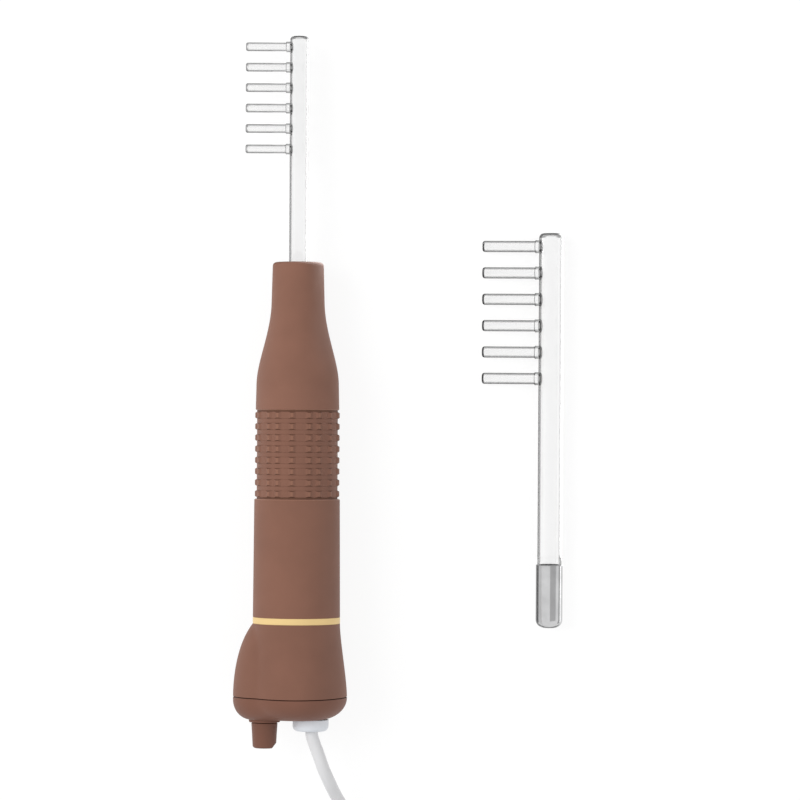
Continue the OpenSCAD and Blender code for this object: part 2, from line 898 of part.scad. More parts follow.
lead_route = [
  [8.0, -5.83, 26.0], [8.0, -7.6, 26.05], [9.15, -11.6, 26.0], [11.2, -17.2, 25.5], [13.6, -24.3, 23.6],
  [16.5, -31.4, 19.8], [19.8, -39.2, 13.0], [23.9, -46.8, 7.9], [28.4, -54.7, 5.1], [33.0, -62.6, 4.2],
  [38.2, -71.6, 4.15]
];
cord_lift = 1;
coil_x = 5;
coil_y = -108;
coil_mid_r = 36;
coil_turn = 28;
tail_points = [[18, 11.05], [24, 10.6], [30, 9.2], [35, 7.6], [39.5, 7], [43, 7]];
rings_per_turn = 24;
coil_sides = 6;
tube_sides = 10;
turn_pitch = cord_d + turn_gap;
coil_in_r = coil_mid_r - coil_turns * turn_pitch / 2;
coil_out_r = coil_mid_r + coil_turns * turn_pitch / 2;
layer_low = cord_lift + lead_r;
coil_sweep = 2 * 360 * coil_turns;

function smooth(t) = let (s = max(0, min(1, t))) s * s * (3 - 2 * s);
function coil_point(turned) = let (
    away = abs(turned - coil_sweep / 2),
    r = coil_in_r + turn_pitch * away / 360,
    a = coil_turn - turned,
    rise = smooth((turned - coil_sweep / 2 + 90) / 180)
  ) [coil_x + r * cos(a), coil_y + r * sin(a), layer_low + turn_pitch * rise];

coil_heading = [sin(coil_turn), -cos(coil_turn), 0];
coil_start = coil_point(0);
coil_end = coil_point(coil_sweep);
coil_route = concat(
  [coil_start - cord_d * coil_heading],
  [for (i = [0:rings_per_turn * 2 * coil_turns]) coil_point(i * 360 / rings_per_turn)],
  [coil_end + cord_d * coil_heading]
);
tail_start = coil_end + cord_d * coil_heading;
tail_route = concat(
  [tail_start],
  [for (p = tail_points) [coil_end[0], coil_end[1], p[1]] + p[0] * coil_heading]
);
plug_start = tail_route[len(tail_route) - 1];

function unit(v) = v / norm(v);
function heading(route, i) = let (last = len(route) - 1)
  i == 0 ? unit(route[1] - route[0]) :
  i == last ? unit(route[last] - route[last - 1]) :
  unit(unit(route[i + 1] - route[i]) + unit(route[i] - route[i - 1]));

// Closed tube through the route's points; each ring is square to the route and to the given direction
module swept(route, r, sides, level = [0, 0, 1]) {
  count = len(route);
  points = [for (i = [0:count - 1])
    let (along = heading(route, i), side = unit(cross(along, level)), up = cross(side, along))
      for (k = [0:sides - 1]) route[i] + r * (cos(360 * k / sides) * side + sin(360 * k / sides) * up)];
  walls = [for (i = [0:count - 2]) for (k = [0:sides - 1])
    let (a = i * sides + k, b = i * sides + (k + 1) % sides)
      each [[a, b + sides, a + sides], [a, b, b + sides]]];
  last = (count - 1) * sides;
  caps = [for (k = [1:sides - 2]) each [[0, k + 1, k], [last, last + k, last + k + 1]]];
  polyhedron(points, concat(walls, caps));
}

module on_table() {
  translate([wand_x, wand_y, 0]) children();
}

coil_samples = [for (i = [0:6:coil_sweep]) coil_point(i)];
coil_gap = min([for (i = [0:len(coil_samples) - 1]) for (j = [i + 30:len(coil_samples) - 1])
  norm(coil_samples[i] - coil_samples[j])]) - cord_d;
echo(coil_least_gap = coil_gap);

function route_len(route) =
  let (steps = [for (i = [1:len(route) - 1]) norm(route[i] - route[i - 1])]) steps * [for (s = steps) 1];

module cord_lead() {
  color(cord_white) on_table() swept(concat(lead_route, [coil_route[0]]), lead_r, tube_sides);
}

module cord_coil() {
  color(cord_white) on_table() swept(coil_route, lead_r, coil_sides);
}

module cord_tail() {
  color(cord_white) on_table() swept(tail_route, lead_r, tube_sides);
}

cord_routes = [concat(lead_route, [coil_route[0]]), coil_route, tail_route];
cord_lengths = [for (route = cord_routes) route_len(route)];
echo(cord_length = cord_lengths * [1, 1, 1]);

tie_w = 9;
tie_t = 0.5;
tie_at = 200;

module cord_tie() {
  inner = coil_in_r - lead_r - close_gap;
  outer = coil_out_r + lead_r + close_gap;
  low = cord_lift - close_gap;
  high = layer_low + turn_pitch + lead_r + close_gap;
  color(black) on_table() translate([coil_x, coil_y, 0]) rotate(tie_at) difference() {
    block([inner - tie_t, -tie_w / 2, low - tie_t], [outer + tie_t, tie_w / 2, high + tie_t]);
    block([inner, -tie_w, low], [outer, tie_w, high]);
  }
}

// Plug, lying flat in line with the cord's tail

plug_neck_len = 12;
plug_neck_r = 6;
neck_wall = 0.6;
neck_root = 4;
plug_face = plug_neck_len + plug_len;
pin_sleeve_len = 10;
pin_sleeve_r = pin_r - 0.4;
pin_shank_r = pin_r - 0.9;
pin_root = 5;
pin_bevel = 1;

module at_plug() {
  on_table() translate(plug_start) rotate(atan2(coil_heading[1], coil_heading[0]) - 90)
    rotate([90, 0, 0]) children();
}

module at_pins() {
  for (side = [-1, 1]) translate([side * pin_gap / 2, 0, 0]) children();
}

// Body with a tapered neck and the insulating sleeves of the pins
module plug_body() {
  color(cord_white) at_plug() difference() {
    union() {
      translate([0, 0, -plug_face]) linear_extrude(plug_len) {
        square([plug_w - plug_t, plug_t], center = true);
        for (side = [-1, 1]) translate([side * (plug_w - plug_t) / 2, 0]) circle(r = plug_t / 2);
      }
      translate([0, 0, -plug_neck_len - neck_root])
        cylinder(r1 = plug_neck_r, r2 = lead_r + neck_wall, h = plug_neck_len + neck_root);
      at_pins() rod(pin_sleeve_r, -plug_face - pin_sleeve_len, -plug_face + eps);
    }
    at_pins() rod(pin_shank_r + push_gap, -plug_face - pin_sleeve_len - eps, -plug_face + pin_root);
  }
}

module plug_pins() {
  tip = -plug_face - pin_len;
  shoulder = -plug_face - pin_sleeve_len;
  color(steel) at_plug() at_pins() {
    translate([0, 0, tip]) cylinder(r1 = pin_r - pin_bevel, r2 = pin_r, h = pin_bevel);
    rod(pin_r, tip + pin_bevel, shoulder);
    rod(pin_shank_r, shoulder - eps, -plug_face + pin_root);
  }
}

neck_housing();
grip_sleeve();
barrel_housing();
trim_ring();
base_housing();
base_cover();
cover_screws();
knob();
adjusting_screw();
knob_bush();
strain_relief();
inner_lead();
cord_clamp();
clamp_screws();
socket_sleeve();
contact_cup();
electrode_glass();
electrode_cap();
spare_glass();
spare_cap();
hv_former();
hv_secondary();
hv_primary();
capacitor();
capacitor_clip();
chassis_board();
interrupter_frame();
interrupter_core();
interrupter_coil();
reed();
reed_clamp();
hookup_wires();
cord_lead();
cord_coil();
cord_tail();
cord_tie();
plug_body();
plug_pins();
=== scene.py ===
import json
import math
import bpy
from mathutils import Matrix, Vector


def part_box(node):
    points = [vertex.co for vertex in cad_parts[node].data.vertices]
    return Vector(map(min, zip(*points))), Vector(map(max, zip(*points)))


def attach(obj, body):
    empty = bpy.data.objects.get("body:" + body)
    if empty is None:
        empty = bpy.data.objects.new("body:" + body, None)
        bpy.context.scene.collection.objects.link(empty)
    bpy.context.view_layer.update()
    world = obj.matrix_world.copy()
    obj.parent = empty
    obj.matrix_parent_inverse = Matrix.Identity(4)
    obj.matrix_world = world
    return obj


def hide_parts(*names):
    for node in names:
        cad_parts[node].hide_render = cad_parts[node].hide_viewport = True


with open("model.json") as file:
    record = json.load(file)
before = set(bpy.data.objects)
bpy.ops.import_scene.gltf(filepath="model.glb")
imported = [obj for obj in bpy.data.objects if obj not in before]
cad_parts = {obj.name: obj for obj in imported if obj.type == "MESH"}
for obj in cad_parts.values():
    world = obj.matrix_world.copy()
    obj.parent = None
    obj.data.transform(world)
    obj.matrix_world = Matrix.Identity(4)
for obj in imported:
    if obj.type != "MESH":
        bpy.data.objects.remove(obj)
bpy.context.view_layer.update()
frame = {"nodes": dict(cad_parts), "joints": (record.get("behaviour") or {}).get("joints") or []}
mm = 0.001

# The wand lies on its back. Its own frame has z along the axis, z = 0 at the
# bottom of the end cover, and its front towards -y.
joints = {joint["name"]: joint for joint in frame["joints"]}
knobOffset = 15.7
along = Vector(joints["electrode_pull"]["axis"]).normalized()
across = Vector((1, 0, 0))
wandOrigin = Vector(joints["knob_turn"]["pos_m"]) + across * knobOffset * mm
wandTurn = Matrix((across, along.cross(across), along)).transposed()
lay = Matrix.Translation(wandOrigin) @ wandTurn.to_4x4()
print("frame loaded,", len(frame["nodes"]), "nodes")


# Camera

cameraSet = {
    "lens": 180, "sensor": 36, "clipEnd": 20, "distance": 2.0,
    "aim": (-0.15, -3.7, 22), "lean": 1.4, "roll": 0.3,
}


def setCamera():
    aim = Vector(cameraSet["aim"]) * mm
    lean = math.radians(cameraSet["lean"])
    back = Vector((0, math.sin(lean), math.cos(lean)))
    bpy.ops.object.select_all(action="DESELECT")
    bpy.ops.object.camera_add(location=aim + back * cameraSet["distance"])
    camera = bpy.context.object
    camera.name = "tableCamera"
    camera.rotation_euler = (-lean, 0, math.radians(cameraSet["roll"]))
    camera.data.lens = cameraSet["lens"]
    camera.data.sensor_width = cameraSet["sensor"]
    camera.data.clip_end = cameraSet["clipEnd"]
    bpy.context.scene.camera = camera


setCamera()
print("camera set")


# Shader helpers: most values of a noise lie between noiseLow and noiseHigh

noiseLow, noiseHigh = 0.3, 0.7


def newMaterial(name):
    material = bpy.data.materials.new(name)
    material.use_nodes = True
    nodes, links = material.node_tree.nodes, material.node_tree.links
    return material, nodes, links, nodes["Principled BSDF"]


def setInputs(node, values):
    for name, value in values.items():
        node.inputs[name].default_value = value


def objectPoint(nodes, links, stretch=(1, 1, 1)):
    place = nodes.new("ShaderNodeTexCoord")
    mapping = nodes.new("ShaderNodeMapping")
    setInputs(mapping, {"Scale": stretch})
    links.new(place.outputs["Object"], mapping.inputs["Vector"])
    return mapping.outputs["Vector"]


def noise(nodes, links, point, scale, detail, rough=0.5):
    texture = nodes.new("ShaderNodeTexNoise")
    setInputs(texture, {"Scale": scale, "Detail": detail, "Roughness": rough})
    links.new(point, texture.inputs["Vector"])
    return texture.outputs["Fac"]


def shade(colour, share):
    return tuple(min(1, channel * share) for channel in colour)


# A colour made darker and lighter by a value, from stops of (value, share of the colour)
def tint(nodes, links, value, colour, stops):
    colours = nodes.new("ShaderNodeValToRGB")
    band = colours.color_ramp
    while len(band.elements) < len(stops):
        band.elements.new(0.5)
    for element, (place, share) in zip(band.elements, stops):
        element.position = place
        element.color = (*shade(colour, share), 1)
    links.new(value, colours.inputs["Fac"])
    return colours.outputs["Color"]


def spread(nodes, links, value, low, high):
    mapRange = nodes.new("ShaderNodeMapRange")
    setInputs(mapRange, {"From Min": noiseLow, "From Max": noiseHigh, "To Min": low, "To Max": high})
    links.new(value, mapRange.inputs["Value"])
    return mapRange.outputs["Result"]


def bump(nodes, links, shader, height, strength, depth):
    relief = nodes.new("ShaderNodeBump")
    setInputs(relief, {"Strength": strength, "Distance": depth})
    links.new(height, relief.inputs["Height"])
    links.new(relief.outputs["Normal"], shader.inputs["Normal"])


# A moulded finish: slow drift of colour, fine grain in gloss and relief
mouldedSet = {
    "driftScale": 55, "grainScale": 5200, "detail": 2, "grainRough": 0.6,
    "glossSpread": 0.05, "reliefDepth": 0.0001,
}


def mouldedFinish(name, colour, rough, drift=0.05, relief=0.12, specular=0.4, metallic=0):
    s = mouldedSet
    material, nodes, links, shader = newMaterial(name)
    point = objectPoint(nodes, links)
    slow = noise(nodes, links, point, s["driftScale"], s["detail"])
    grain = noise(nodes, links, point, s["grainScale"], s["detail"], s["grainRough"])
    stops = [(noiseLow, 1 - drift), (noiseHigh, 1 + drift)]
    gloss = spread(nodes, links, grain, rough - s["glossSpread"], rough + s["glossSpread"])
    links.new(tint(nodes, links, slow, colour, stops), shader.inputs["Base Color"])
    links.new(gloss, shader.inputs["Roughness"])
    setInputs(shader, {"Specular IOR Level": specular, "Metallic": metallic})
    bump(nodes, links, shader, grain, relief, s["reliefDepth"])
    return material


# A metal with fine streaks along the wand and soft clouds
metalSet = {
    "stretch": (900, 60, 900), "streakDetail": 4, "streakRough": 0.6, "cloudScale": 120, "cloudDetail": 3,
    "dark": 0.9, "light": 1.06, "smoother": 0.06, "rougher": 0.08, "relief": 0.05, "reliefDepth": 0.0001,
}


def metalFinish(name, colour, rough):
    s = metalSet
    material, nodes, links, shader = newMaterial(name)
    stretched = objectPoint(nodes, links, s["stretch"])
    streak = noise(nodes, links, stretched, 1, s["streakDetail"], s["streakRough"])
    cloud = noise(nodes, links, objectPoint(nodes, links), s["cloudScale"], s["cloudDetail"])
    stops = [(noiseLow, s["dark"]), (noiseHigh, s["light"])]
    gloss = spread(nodes, links, streak, rough - s["smoother"], rough + s["rougher"])
    links.new(tint(nodes, links, cloud, colour, stops), shader.inputs["Base Color"])
    links.new(gloss, shader.inputs["Roughness"])
    setInputs(shader, {"Metallic": 1})
    bump(nodes, links, shader, streak, s["relief"], s["reliefDepth"])
    return material


# Clear glass: where its outer skin is seen edge on, the rim is painted darker, painted shade that takes the
# light away
clearSet = {
    "edgeBlend": 0.5, "rippleScale": 90, "rippleDetail": 2, "ripple": 0.01, "rippleDepth": 0.0004,
    "refraction": 1.47,
}


def glassFinish(name, colour, rimStops):
    s = clearSet
    material, nodes, links, shader = newMaterial(name)
    setInputs(shader, {"Base Color": (*colour, 1), "Roughness": 0, "IOR": s["refraction"]})
    setInputs(shader, {"Transmission Weight": 1})
    if rimStops:
        edge = nodes.new("ShaderNodeLayerWeight")
        setInputs(edge, {"Blend": s["edgeBlend"]})
        links.new(tint(nodes, links, edge.outputs["Facing"], colour, rimStops), shader.inputs["Base Color"])
    ripple = noise(nodes, links, objectPoint(nodes, links), s["rippleScale"], s["rippleDetail"])
    bump(nodes, links, shader, ripple, s["ripple"], s["rippleDepth"])
    return material


# Windings: close turns of enamelled wire round the wand's axis, with painted shade in the gaps between turns
windingSet = {
    "bandScale": 0.314, "waver": 0.4, "gapShadeShare": 0.45, "crownFrom": 0.6, "metallic": 0.7, "rough": 0.35,
    "relief": 0.6, "reliefDepth": 0.0002,
}


def windingFinish(name, colour, pitch):
    s = windingSet
    material, nodes, links, shader = newMaterial(name)
    wave = nodes.new("ShaderNodeTexWave")
    wave.wave_type = "BANDS"
    wave.bands_direction = "Y"
    setInputs(wave, {"Scale": s["bandScale"] / pitch, "Distortion": s["waver"]})
    links.new(objectPoint(nodes, links), wave.inputs["Vector"])
    stops = [(0, s["gapShadeShare"]), (s["crownFrom"], 1)]
    links.new(tint(nodes, links, wave.outputs["Fac"], colour, stops), shader.inputs["Base Color"])
    setInputs(shader, {"Metallic": s["metallic"], "Roughness": s["rough"]})
    bump(nodes, links, shader, wave.outputs["Fac"], s["relief"], s["reliefDepth"])
    return material


bodyPlastic = mouldedFinish("bodyPlastic", (0.214, 0.1, 0.0675), 0.58, specular=0.3)
neckPlastic = mouldedFinish("neckPlastic", (0.229, 0.108, 0.0735), 0.58, specular=0.3)
basePlastic = mouldedFinish("basePlastic", (0.206, 0.096, 0.065), 0.58, specular=0.3)
# Lighter brown on the crests of the grip's blocks: a painted highlight
crestHighlightPlastic = mouldedFinish("crestHighlightPlastic", (0.25, 0.118, 0.077), 0.55, specular=0.3)
# Lighter brown on the chamfered edges of neck and barrel: a painted highlight
edgeHighlightPlastic = mouldedFinish("edgeHighlightPlastic", (0.31, 0.15, 0.1), 0.5, specular=0.4)
# Darker brown on the ends of the grip's blocks and on the grip's end bands: painted shade
recessShadePlastic = mouldedFinish("recessShadePlastic", (0.143, 0.067, 0.044), 0.6, specular=0.2)
seamPlastic = mouldedFinish("seamPlastic", (0.05, 0.022, 0.015), 0.6, specular=0.1)
coverPlastic = mouldedFinish("coverPlastic", (0.184, 0.081, 0.054), 0.55, specular=0.3)
knobPlastic = mouldedFinish("knobPlastic", (0.162, 0.071, 0.047), 0.5, specular=0.3)
goldTrim = mouldedFinish("goldTrim", (0.82, 0.595, 0.272), 0.5, drift=0.03, relief=0.05, metallic=0.25)
collarRubber = mouldedFinish("collarRubber", (0.785, 0.815, 0.862), 0.45, drift=0.02, relief=0.06)
cordSheath = mouldedFinish("cordSheath", (0.738, 0.738, 0.748), 0.42, drift=0.02, relief=0.06)
plugPlastic = mouldedFinish("plugPlastic", (0.72, 0.72, 0.735), 0.4, drift=0.02, relief=0.08)
tiePlastic = mouldedFinish("tiePlastic", (0.03, 0.03, 0.032), 0.5, drift=0.1)
capMetal = metalFinish("capMetal", (0.6, 0.6, 0.605), 0.13)
pinMetal = metalFinish("pinMetal", (0.72, 0.7, 0.64), 0.22)
brassMetal = metalFinish("brassMetal", (0.6, 0.42, 0.16), 0.3)
steelMetal = metalFinish("steelMetal", (0.5, 0.5, 0.52), 0.35)
insulatorResin = mouldedFinish("insulatorResin", (0.14, 0.07, 0.03), 0.45, drift=0.15)
copperWinding = windingFinish("copperWinding", (0.5, 0.2, 0.08), pitch=0.0005)
capacitorCase = mouldedFinish("capacitorCase", (0.25, 0.15, 0.05), 0.4, drift=0.1)
wireSheath = mouldedFinish("wireSheath", (0.4, 0.05, 0.03), 0.4)
print("materials made")


# Modelling helpers: points nearer than weldGap are joined, and a face looks along an axis
# when more than squareOn of its normal does

weldGap = 0.002 * mm
squareOn = 0.9


def clearHands():
    if bpy.context.mode != "OBJECT":
        bpy.ops.object.mode_set(mode="OBJECT")
    bpy.ops.object.select_all(action="DESELECT")


def take(piece):
    clearHands()
    piece.select_set(True)
    bpy.context.view_layer.objects.active = piece
    return piece


def nameIt(piece, name):
    piece.name = name
    piece.data.name = name
    return piece


def onTable(point):
    return Vector((point.x, point.y, 0))


def shift(x=0, y=0, z=0):
    return Matrix.Translation((x * mm, y * mm, z * mm))


def turnAbout(axis, degrees):
    return Matrix.Rotation(math.radians(degrees), 4, axis)


def enterEdit():
    bpy.ops.object.mode_set(mode="EDIT")
    bpy.ops.mesh.select_all(action="SELECT")


def leaveEdit():
    bpy.ops.mesh.select_mode(type="VERT")
    bpy.ops.object.mode_set(mode="OBJECT")


# A curve of (radius, height) points from low to high, drawn out by a pull at each end
def pullCurve(low, high, lowPull, highPull, steps):
    nearLow = (low[0] + lowPull[0], low[1] + lowPull[1])
    nearHigh = (high[0] + highPull[0], high[1] + highPull[1])
    corners = (low, nearLow, nearHigh, high)
    points = []
    for i in range(steps + 1):
        t = i / steps
        s = 1 - t
        weights = (s * s * s, 3 * s * s * t, 3 * s * t * t, t * t * t)
        points.append(tuple(sum(w * p[k] for w, p in zip(weights, corners)) for k in (0, 1)))
    return points


# A rounded corner that goes from the side of an outline to its top (up = 1) or bottom (up = -1)
def roundCorner(radius, height, size, steps, up=1):
    points = []
    for i in range(steps + 1):
        angle = math.pi / 2 * i / steps
        points.append((radius - size + size * math.cos(angle), height - up * (size - size * math.sin(angle))))
    return points


# Ends edit mode with points that meet joined and faces turned outwards
def sealMesh():
    bpy.ops.mesh.select_all(action="SELECT")
    bpy.ops.mesh.remove_doubles(threshold=weldGap)
    bpy.ops.mesh.normals_make_consistent(inside=False)
    bpy.ops.object.mode_set(mode="OBJECT")


# An outline of (radius, height) in mm, drawn point by point and spun round z.
# One that starts away from the axis is closed.
def spinOutline(name, outline, steps):
    clearHands()
    bpy.ops.mesh.primitive_plane_add(size=mm)
    piece = nameIt(bpy.context.object, name)
    enterEdit()
    bpy.ops.mesh.merge(type="CENTER")
    points = [Vector((radius, 0, height)) * mm for radius, height in outline]
    if points[0].x > 0:
        points.append(points[0])
    bpy.ops.transform.translate(value=points[0])
    for before, after in zip(points, points[1:]):
        bpy.ops.mesh.extrude_vertices_move(TRANSFORM_OT_translate={"value": after - before})
    bpy.ops.mesh.select_all(action="SELECT")
    bpy.ops.mesh.spin(steps=steps, angle=math.tau, center=(0, 0, 0), axis=(0, 0, 1))
    sealMesh()
    return piece


# Into edit mode, with only the faces or edges that pass a test selected
def choose(piece, kind, test):
    take(piece)
    bpy.ops.object.mode_set(mode="EDIT")
    bpy.ops.mesh.select_mode(type=kind)
    bpy.ops.mesh.select_all(action="DESELECT")
    bpy.ops.object.mode_set(mode="OBJECT")
    for part in piece.data.polygons if kind == "FACE" else piece.data.edges:
        part.select = test(part)
    bpy.ops.object.mode_set(mode="EDIT")


def boxOf(name, width, depth, height):
    clearHands()
    bpy.ops.mesh.primitive_cube_add(size=1)
    piece = nameIt(bpy.context.object, name)
    enterEdit()
    bpy.ops.transform.resize(value=(width * mm, depth * mm, height * mm))
    leaveEdit()
    return piece


def runsAlong(piece, edge, axis):
    a, b = (piece.data.vertices[i].co for i in edge.vertices)
    return abs(a[axis] - b[axis]) > mm


def setDown(piece, place):
    take(piece)
    piece.matrix_world = place
    bpy.ops.object.transform_apply(location=True, rotation=True, scale=True)
    return piece


def cutWith(piece, tool, operation):
    take(piece)
    modifier = piece.modifiers.new("cut", "BOOLEAN")
    modifier.operation = operation
    modifier.solver = "EXACT"
    modifier.object = tool
    bpy.ops.object.modifier_apply(modifier=modifier.name)
    bpy.data.objects.remove(tool)
    return piece


def joinUp(piece, others):
    take(piece)
    for other in others:
        other.select_set(True)
    bpy.ops.object.join()
    return piece


def copyOf(piece, name, place):
    twin = piece.copy()
    twin.data = piece.data.copy()
    bpy.context.scene.collection.objects.link(twin)
    nameIt(twin, name)
    return setDown(twin, place)


# A band of a spun piece in another finish: a painted highlight on a corner, or painted shade in the groove at
# an end
def markBand(piece, low, high, leastRadius, material):
    if material.name not in piece.data.materials:
        piece.data.materials.append(material)
    for face in piece.data.polygons:
        centre = face.center / mm
        if low < centre.z < high and math.hypot(centre.x, centre.y) > leastRadius:
            face.material_index = piece.data.materials.find(material.name)


# Edges sharper than the angle stay sharp. Without a material the piece keeps those it has.
def finishPiece(piece, material, body, slot, *nodes, angle=32):
    take(piece)
    bpy.ops.object.shade_smooth_by_angle(angle=math.radians(angle))
    if material:
        piece.data.materials.clear()
        piece.data.materials.append(material)
    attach(piece, body)
    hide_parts(*nodes)
    print("made", piece.name, len(piece.data.polygons), "faces")
    return piece


# Cord: out of the collar, down to the table, and put away in a two-layer coil

cordSet = {
    "diameter": 6.3,
    "lead": [
        (8.0, -5.83, 26.0), (8.0, -7.6, 26.05), (9.15, -11.6, 26.0), (11.2, -17.2, 25.5), (13.6, -24.3, 23.6),
        (16.5, -31.4, 19.8), (19.8, -39.2, 13.0), (23.9, -46.8, 7.9), (28.4, -54.7, 5.1), (33.0, -62.6, 4.2),
        (38.2, -71.6, 4.15),
    ],
    "coilCentre": (5, -108), "middleRadius": 36, "turns": 3, "layers": 2, "turnGap": 0.6, "startAngle": 28,
    "low": 4.15, "climb": 180, "pointsPerTurn": 24,
    "tail": [(18, 11.05), (24, 10.6), (30, 9.2), (35, 7.6), (39.5, 7), (43, 7)],
    "stepsAlong": 6, "stepsRound": 6,
}


def smoothStep(value):
    value = max(0, min(1, value))
    return value * value * (3 - 2 * value)


# The coil winds inwards in its lower layer, climbs half a turn, and winds outwards in its upper layer
def cordRoute():
    s = cordSet
    pitch = s["diameter"] + s["turnGap"]
    allTurns = s["layers"] * s["turns"]
    sweep = 360 * allTurns
    innerRadius = s["middleRadius"] - s["turns"] * pitch / 2
    start = math.radians(s["startAngle"])
    heading = Vector((math.sin(start), -math.cos(start), 0))

    def coilPoint(turned):
        past = turned - sweep / 2
        radius = innerRadius + pitch * abs(past) / 360
        angle = start - math.radians(turned)
        rise = smoothStep((past + s["climb"] / 2) / s["climb"])
        centreX, centreY = s["coilCentre"]
        return Vector((centreX + radius * math.cos(angle), centreY + radius * math.sin(angle),
                       s["low"] + pitch * rise))

    count = s["pointsPerTurn"] * allTurns
    coil = [coilPoint(sweep * i / count) for i in range(count + 1)]
    end = onTable(coil[-1])
    tail = [end + heading * away + Vector((0, 0, height)) for away, height in s["tail"]]
    straight = heading * s["diameter"]
    lead = [Vector(point) for point in s["lead"]]
    route = lead + [coil[0] - straight] + coil + [coil[-1] + straight] + tail
    return [onTable(wandOrigin) + point * mm for point in route], heading


def makeCord():
    route, heading = cordRoute()
    clearHands()
    bpy.ops.curve.primitive_bezier_curve_add()
    cord = nameIt(bpy.context.object, "mainsCord")
    curve = cord.data
    curve.splines.clear()
    spline = curve.splines.new("BEZIER")
    spline.bezier_points.add(len(route) - 1)
    for knot, point in zip(spline.bezier_points, route):
        knot.co = point
        knot.handle_left_type = "AUTO"
        knot.handle_right_type = "AUTO"
    curve.dimensions = "3D"
    curve.resolution_u = cordSet["stepsAlong"]
    curve.bevel_mode = "ROUND"
    curve.bevel_depth = cordSet["diameter"] * mm / 2
    curve.bevel_resolution = cordSet["stepsRound"]
    curve.use_fill_caps = True
    curve.materials.append(cordSheath)
    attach(cord, "handle")
    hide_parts("cord_lead", "cord_coil", "cord_tail")
    length = sum((b - a).length for a, b in zip(route, route[1:]))
    return cord, route, heading, length


mainsCord, cordPoints, cordHeading, cordLength = makeCord()
print("cord laid, %.3f m" % cordLength)


# Neck and shoulder

neckSet = {
    "foot": 154.7, "mouth": 228.7, "shoulderRadius": 20.9, "shoulderTop": 168.0, "taper": 0.3,
    "shoulderPull": (-0.25, 11.5), "neckPull": (0.45, -15.2), "sweepSteps": 28,
    "neckRadius": 13.3, "neckFoot": 208.0, "mouthRadius": 12.8, "mouthRound": 2.0, "mouthSteps": 8,
    "edge": 0.4, "boreRadius": 7.2, "boreBevel": 0.8, "boreStep": 226.0, "sleeveRadius": 9.18,
    "sleeveFoot": 190.5, "cavityTop": 11.93, "cavityRadius": 16.0, "cavityTaper": 176.0,
    "coreStep": 159.0, "coreRadius": 18.45, "spin": 128,
}


def makeNeck():
    s = neckSet
    low = (s["shoulderRadius"] - s["taper"], s["shoulderTop"])
    high = (s["neckRadius"], s["neckFoot"])
    outline = [(s["coreRadius"], s["foot"]), (s["shoulderRadius"] - s["edge"], s["foot"]),
               (s["shoulderRadius"], s["foot"] + s["edge"])]
    outline += pullCurve(low, high, s["shoulderPull"], s["neckPull"], s["sweepSteps"])
    outline += roundCorner(s["mouthRadius"], s["mouth"], s["mouthRound"], s["mouthSteps"])
    outline += [(s["boreRadius"] + s["boreBevel"], s["mouth"]),
                (s["boreRadius"], s["mouth"] - s["boreBevel"]),
                (s["boreRadius"], s["boreStep"]), (s["sleeveRadius"], s["boreStep"]),
                (s["sleeveRadius"], s["sleeveFoot"]), (s["cavityTop"], s["sleeveFoot"]),
                (s["cavityRadius"], s["cavityTaper"]), (s["cavityRadius"], s["coreStep"]),
                (s["coreRadius"], s["coreStep"])]
    neck = spinOutline("neckHousing", outline, s["spin"])
    neck.data.materials.append(neckPlastic)
    # The neck's lower edge takes a painted highlight
    markBand(neck, s["foot"], s["foot"] + s["edge"], s["shoulderRadius"] - s["edge"], edgeHighlightPlastic)
    finishPiece(setDown(neck, lay), None, "handle", "body_plastic", "neck_housing")


makeNeck()


# Grip sleeve with its raised blocks

gripSet = {
    "foot": 110.3, "top": 154.7, "radius": 20.2, "bore": 18.45, "outerFrom": 19.45, "endGap": 0.05,
    "rows": 8, "groups": 6, "steps": (0, -21, -36), "turn": -96, "first": 2.6, "band": 0.25, "bandEdge": 0.15,
    "blockCrest": 1.2, "blockFoot": 4.2, "blockLength": 3.4, "blockSlope": 0.5, "blockHeight": 0.9,
    "blockSink": 0.25, "blockRound": 0.25, "roundSteps": 3, "crestFace": 0.96, "endFace": 0.55, "spin": 144,
}


def makeGripBlock():
    s = gripSet
    height = s["blockHeight"] + s["blockSink"]
    deeper = s["blockSink"] / s["blockHeight"]
    topLength = s["blockLength"] - 2 * s["blockSlope"]
    footLength = s["blockLength"] + 2 * s["blockSlope"] * deeper
    footWidth = s["blockFoot"] + (s["blockFoot"] - s["blockCrest"]) * deeper
    block = boxOf("gripBlock", height, footWidth, footLength)
    choose(block, "FACE", lambda face: face.normal.x > squareOn)
    narrow = (1, s["blockCrest"] / footWidth, topLength / footLength)
    bpy.ops.transform.resize(value=narrow, center_override=(0, 0, 0))
    bpy.ops.mesh.bevel(offset=s["blockRound"] * mm, segments=s["roundSteps"], affect="EDGES")
    leaveEdit()
    finishes = [bodyPlastic, crestHighlightPlastic, recessShadePlastic]
    for material in finishes:
        block.data.materials.append(material)
    # Crest faces take a painted highlight, and end faces painted shade
    for face in block.data.polygons:
        if face.normal.x > s["crestFace"]:
            face.material_index = finishes.index(crestHighlightPlastic)
        elif abs(face.normal.z) > s["endFace"]:
            face.material_index = finishes.index(recessShadePlastic)
    return block


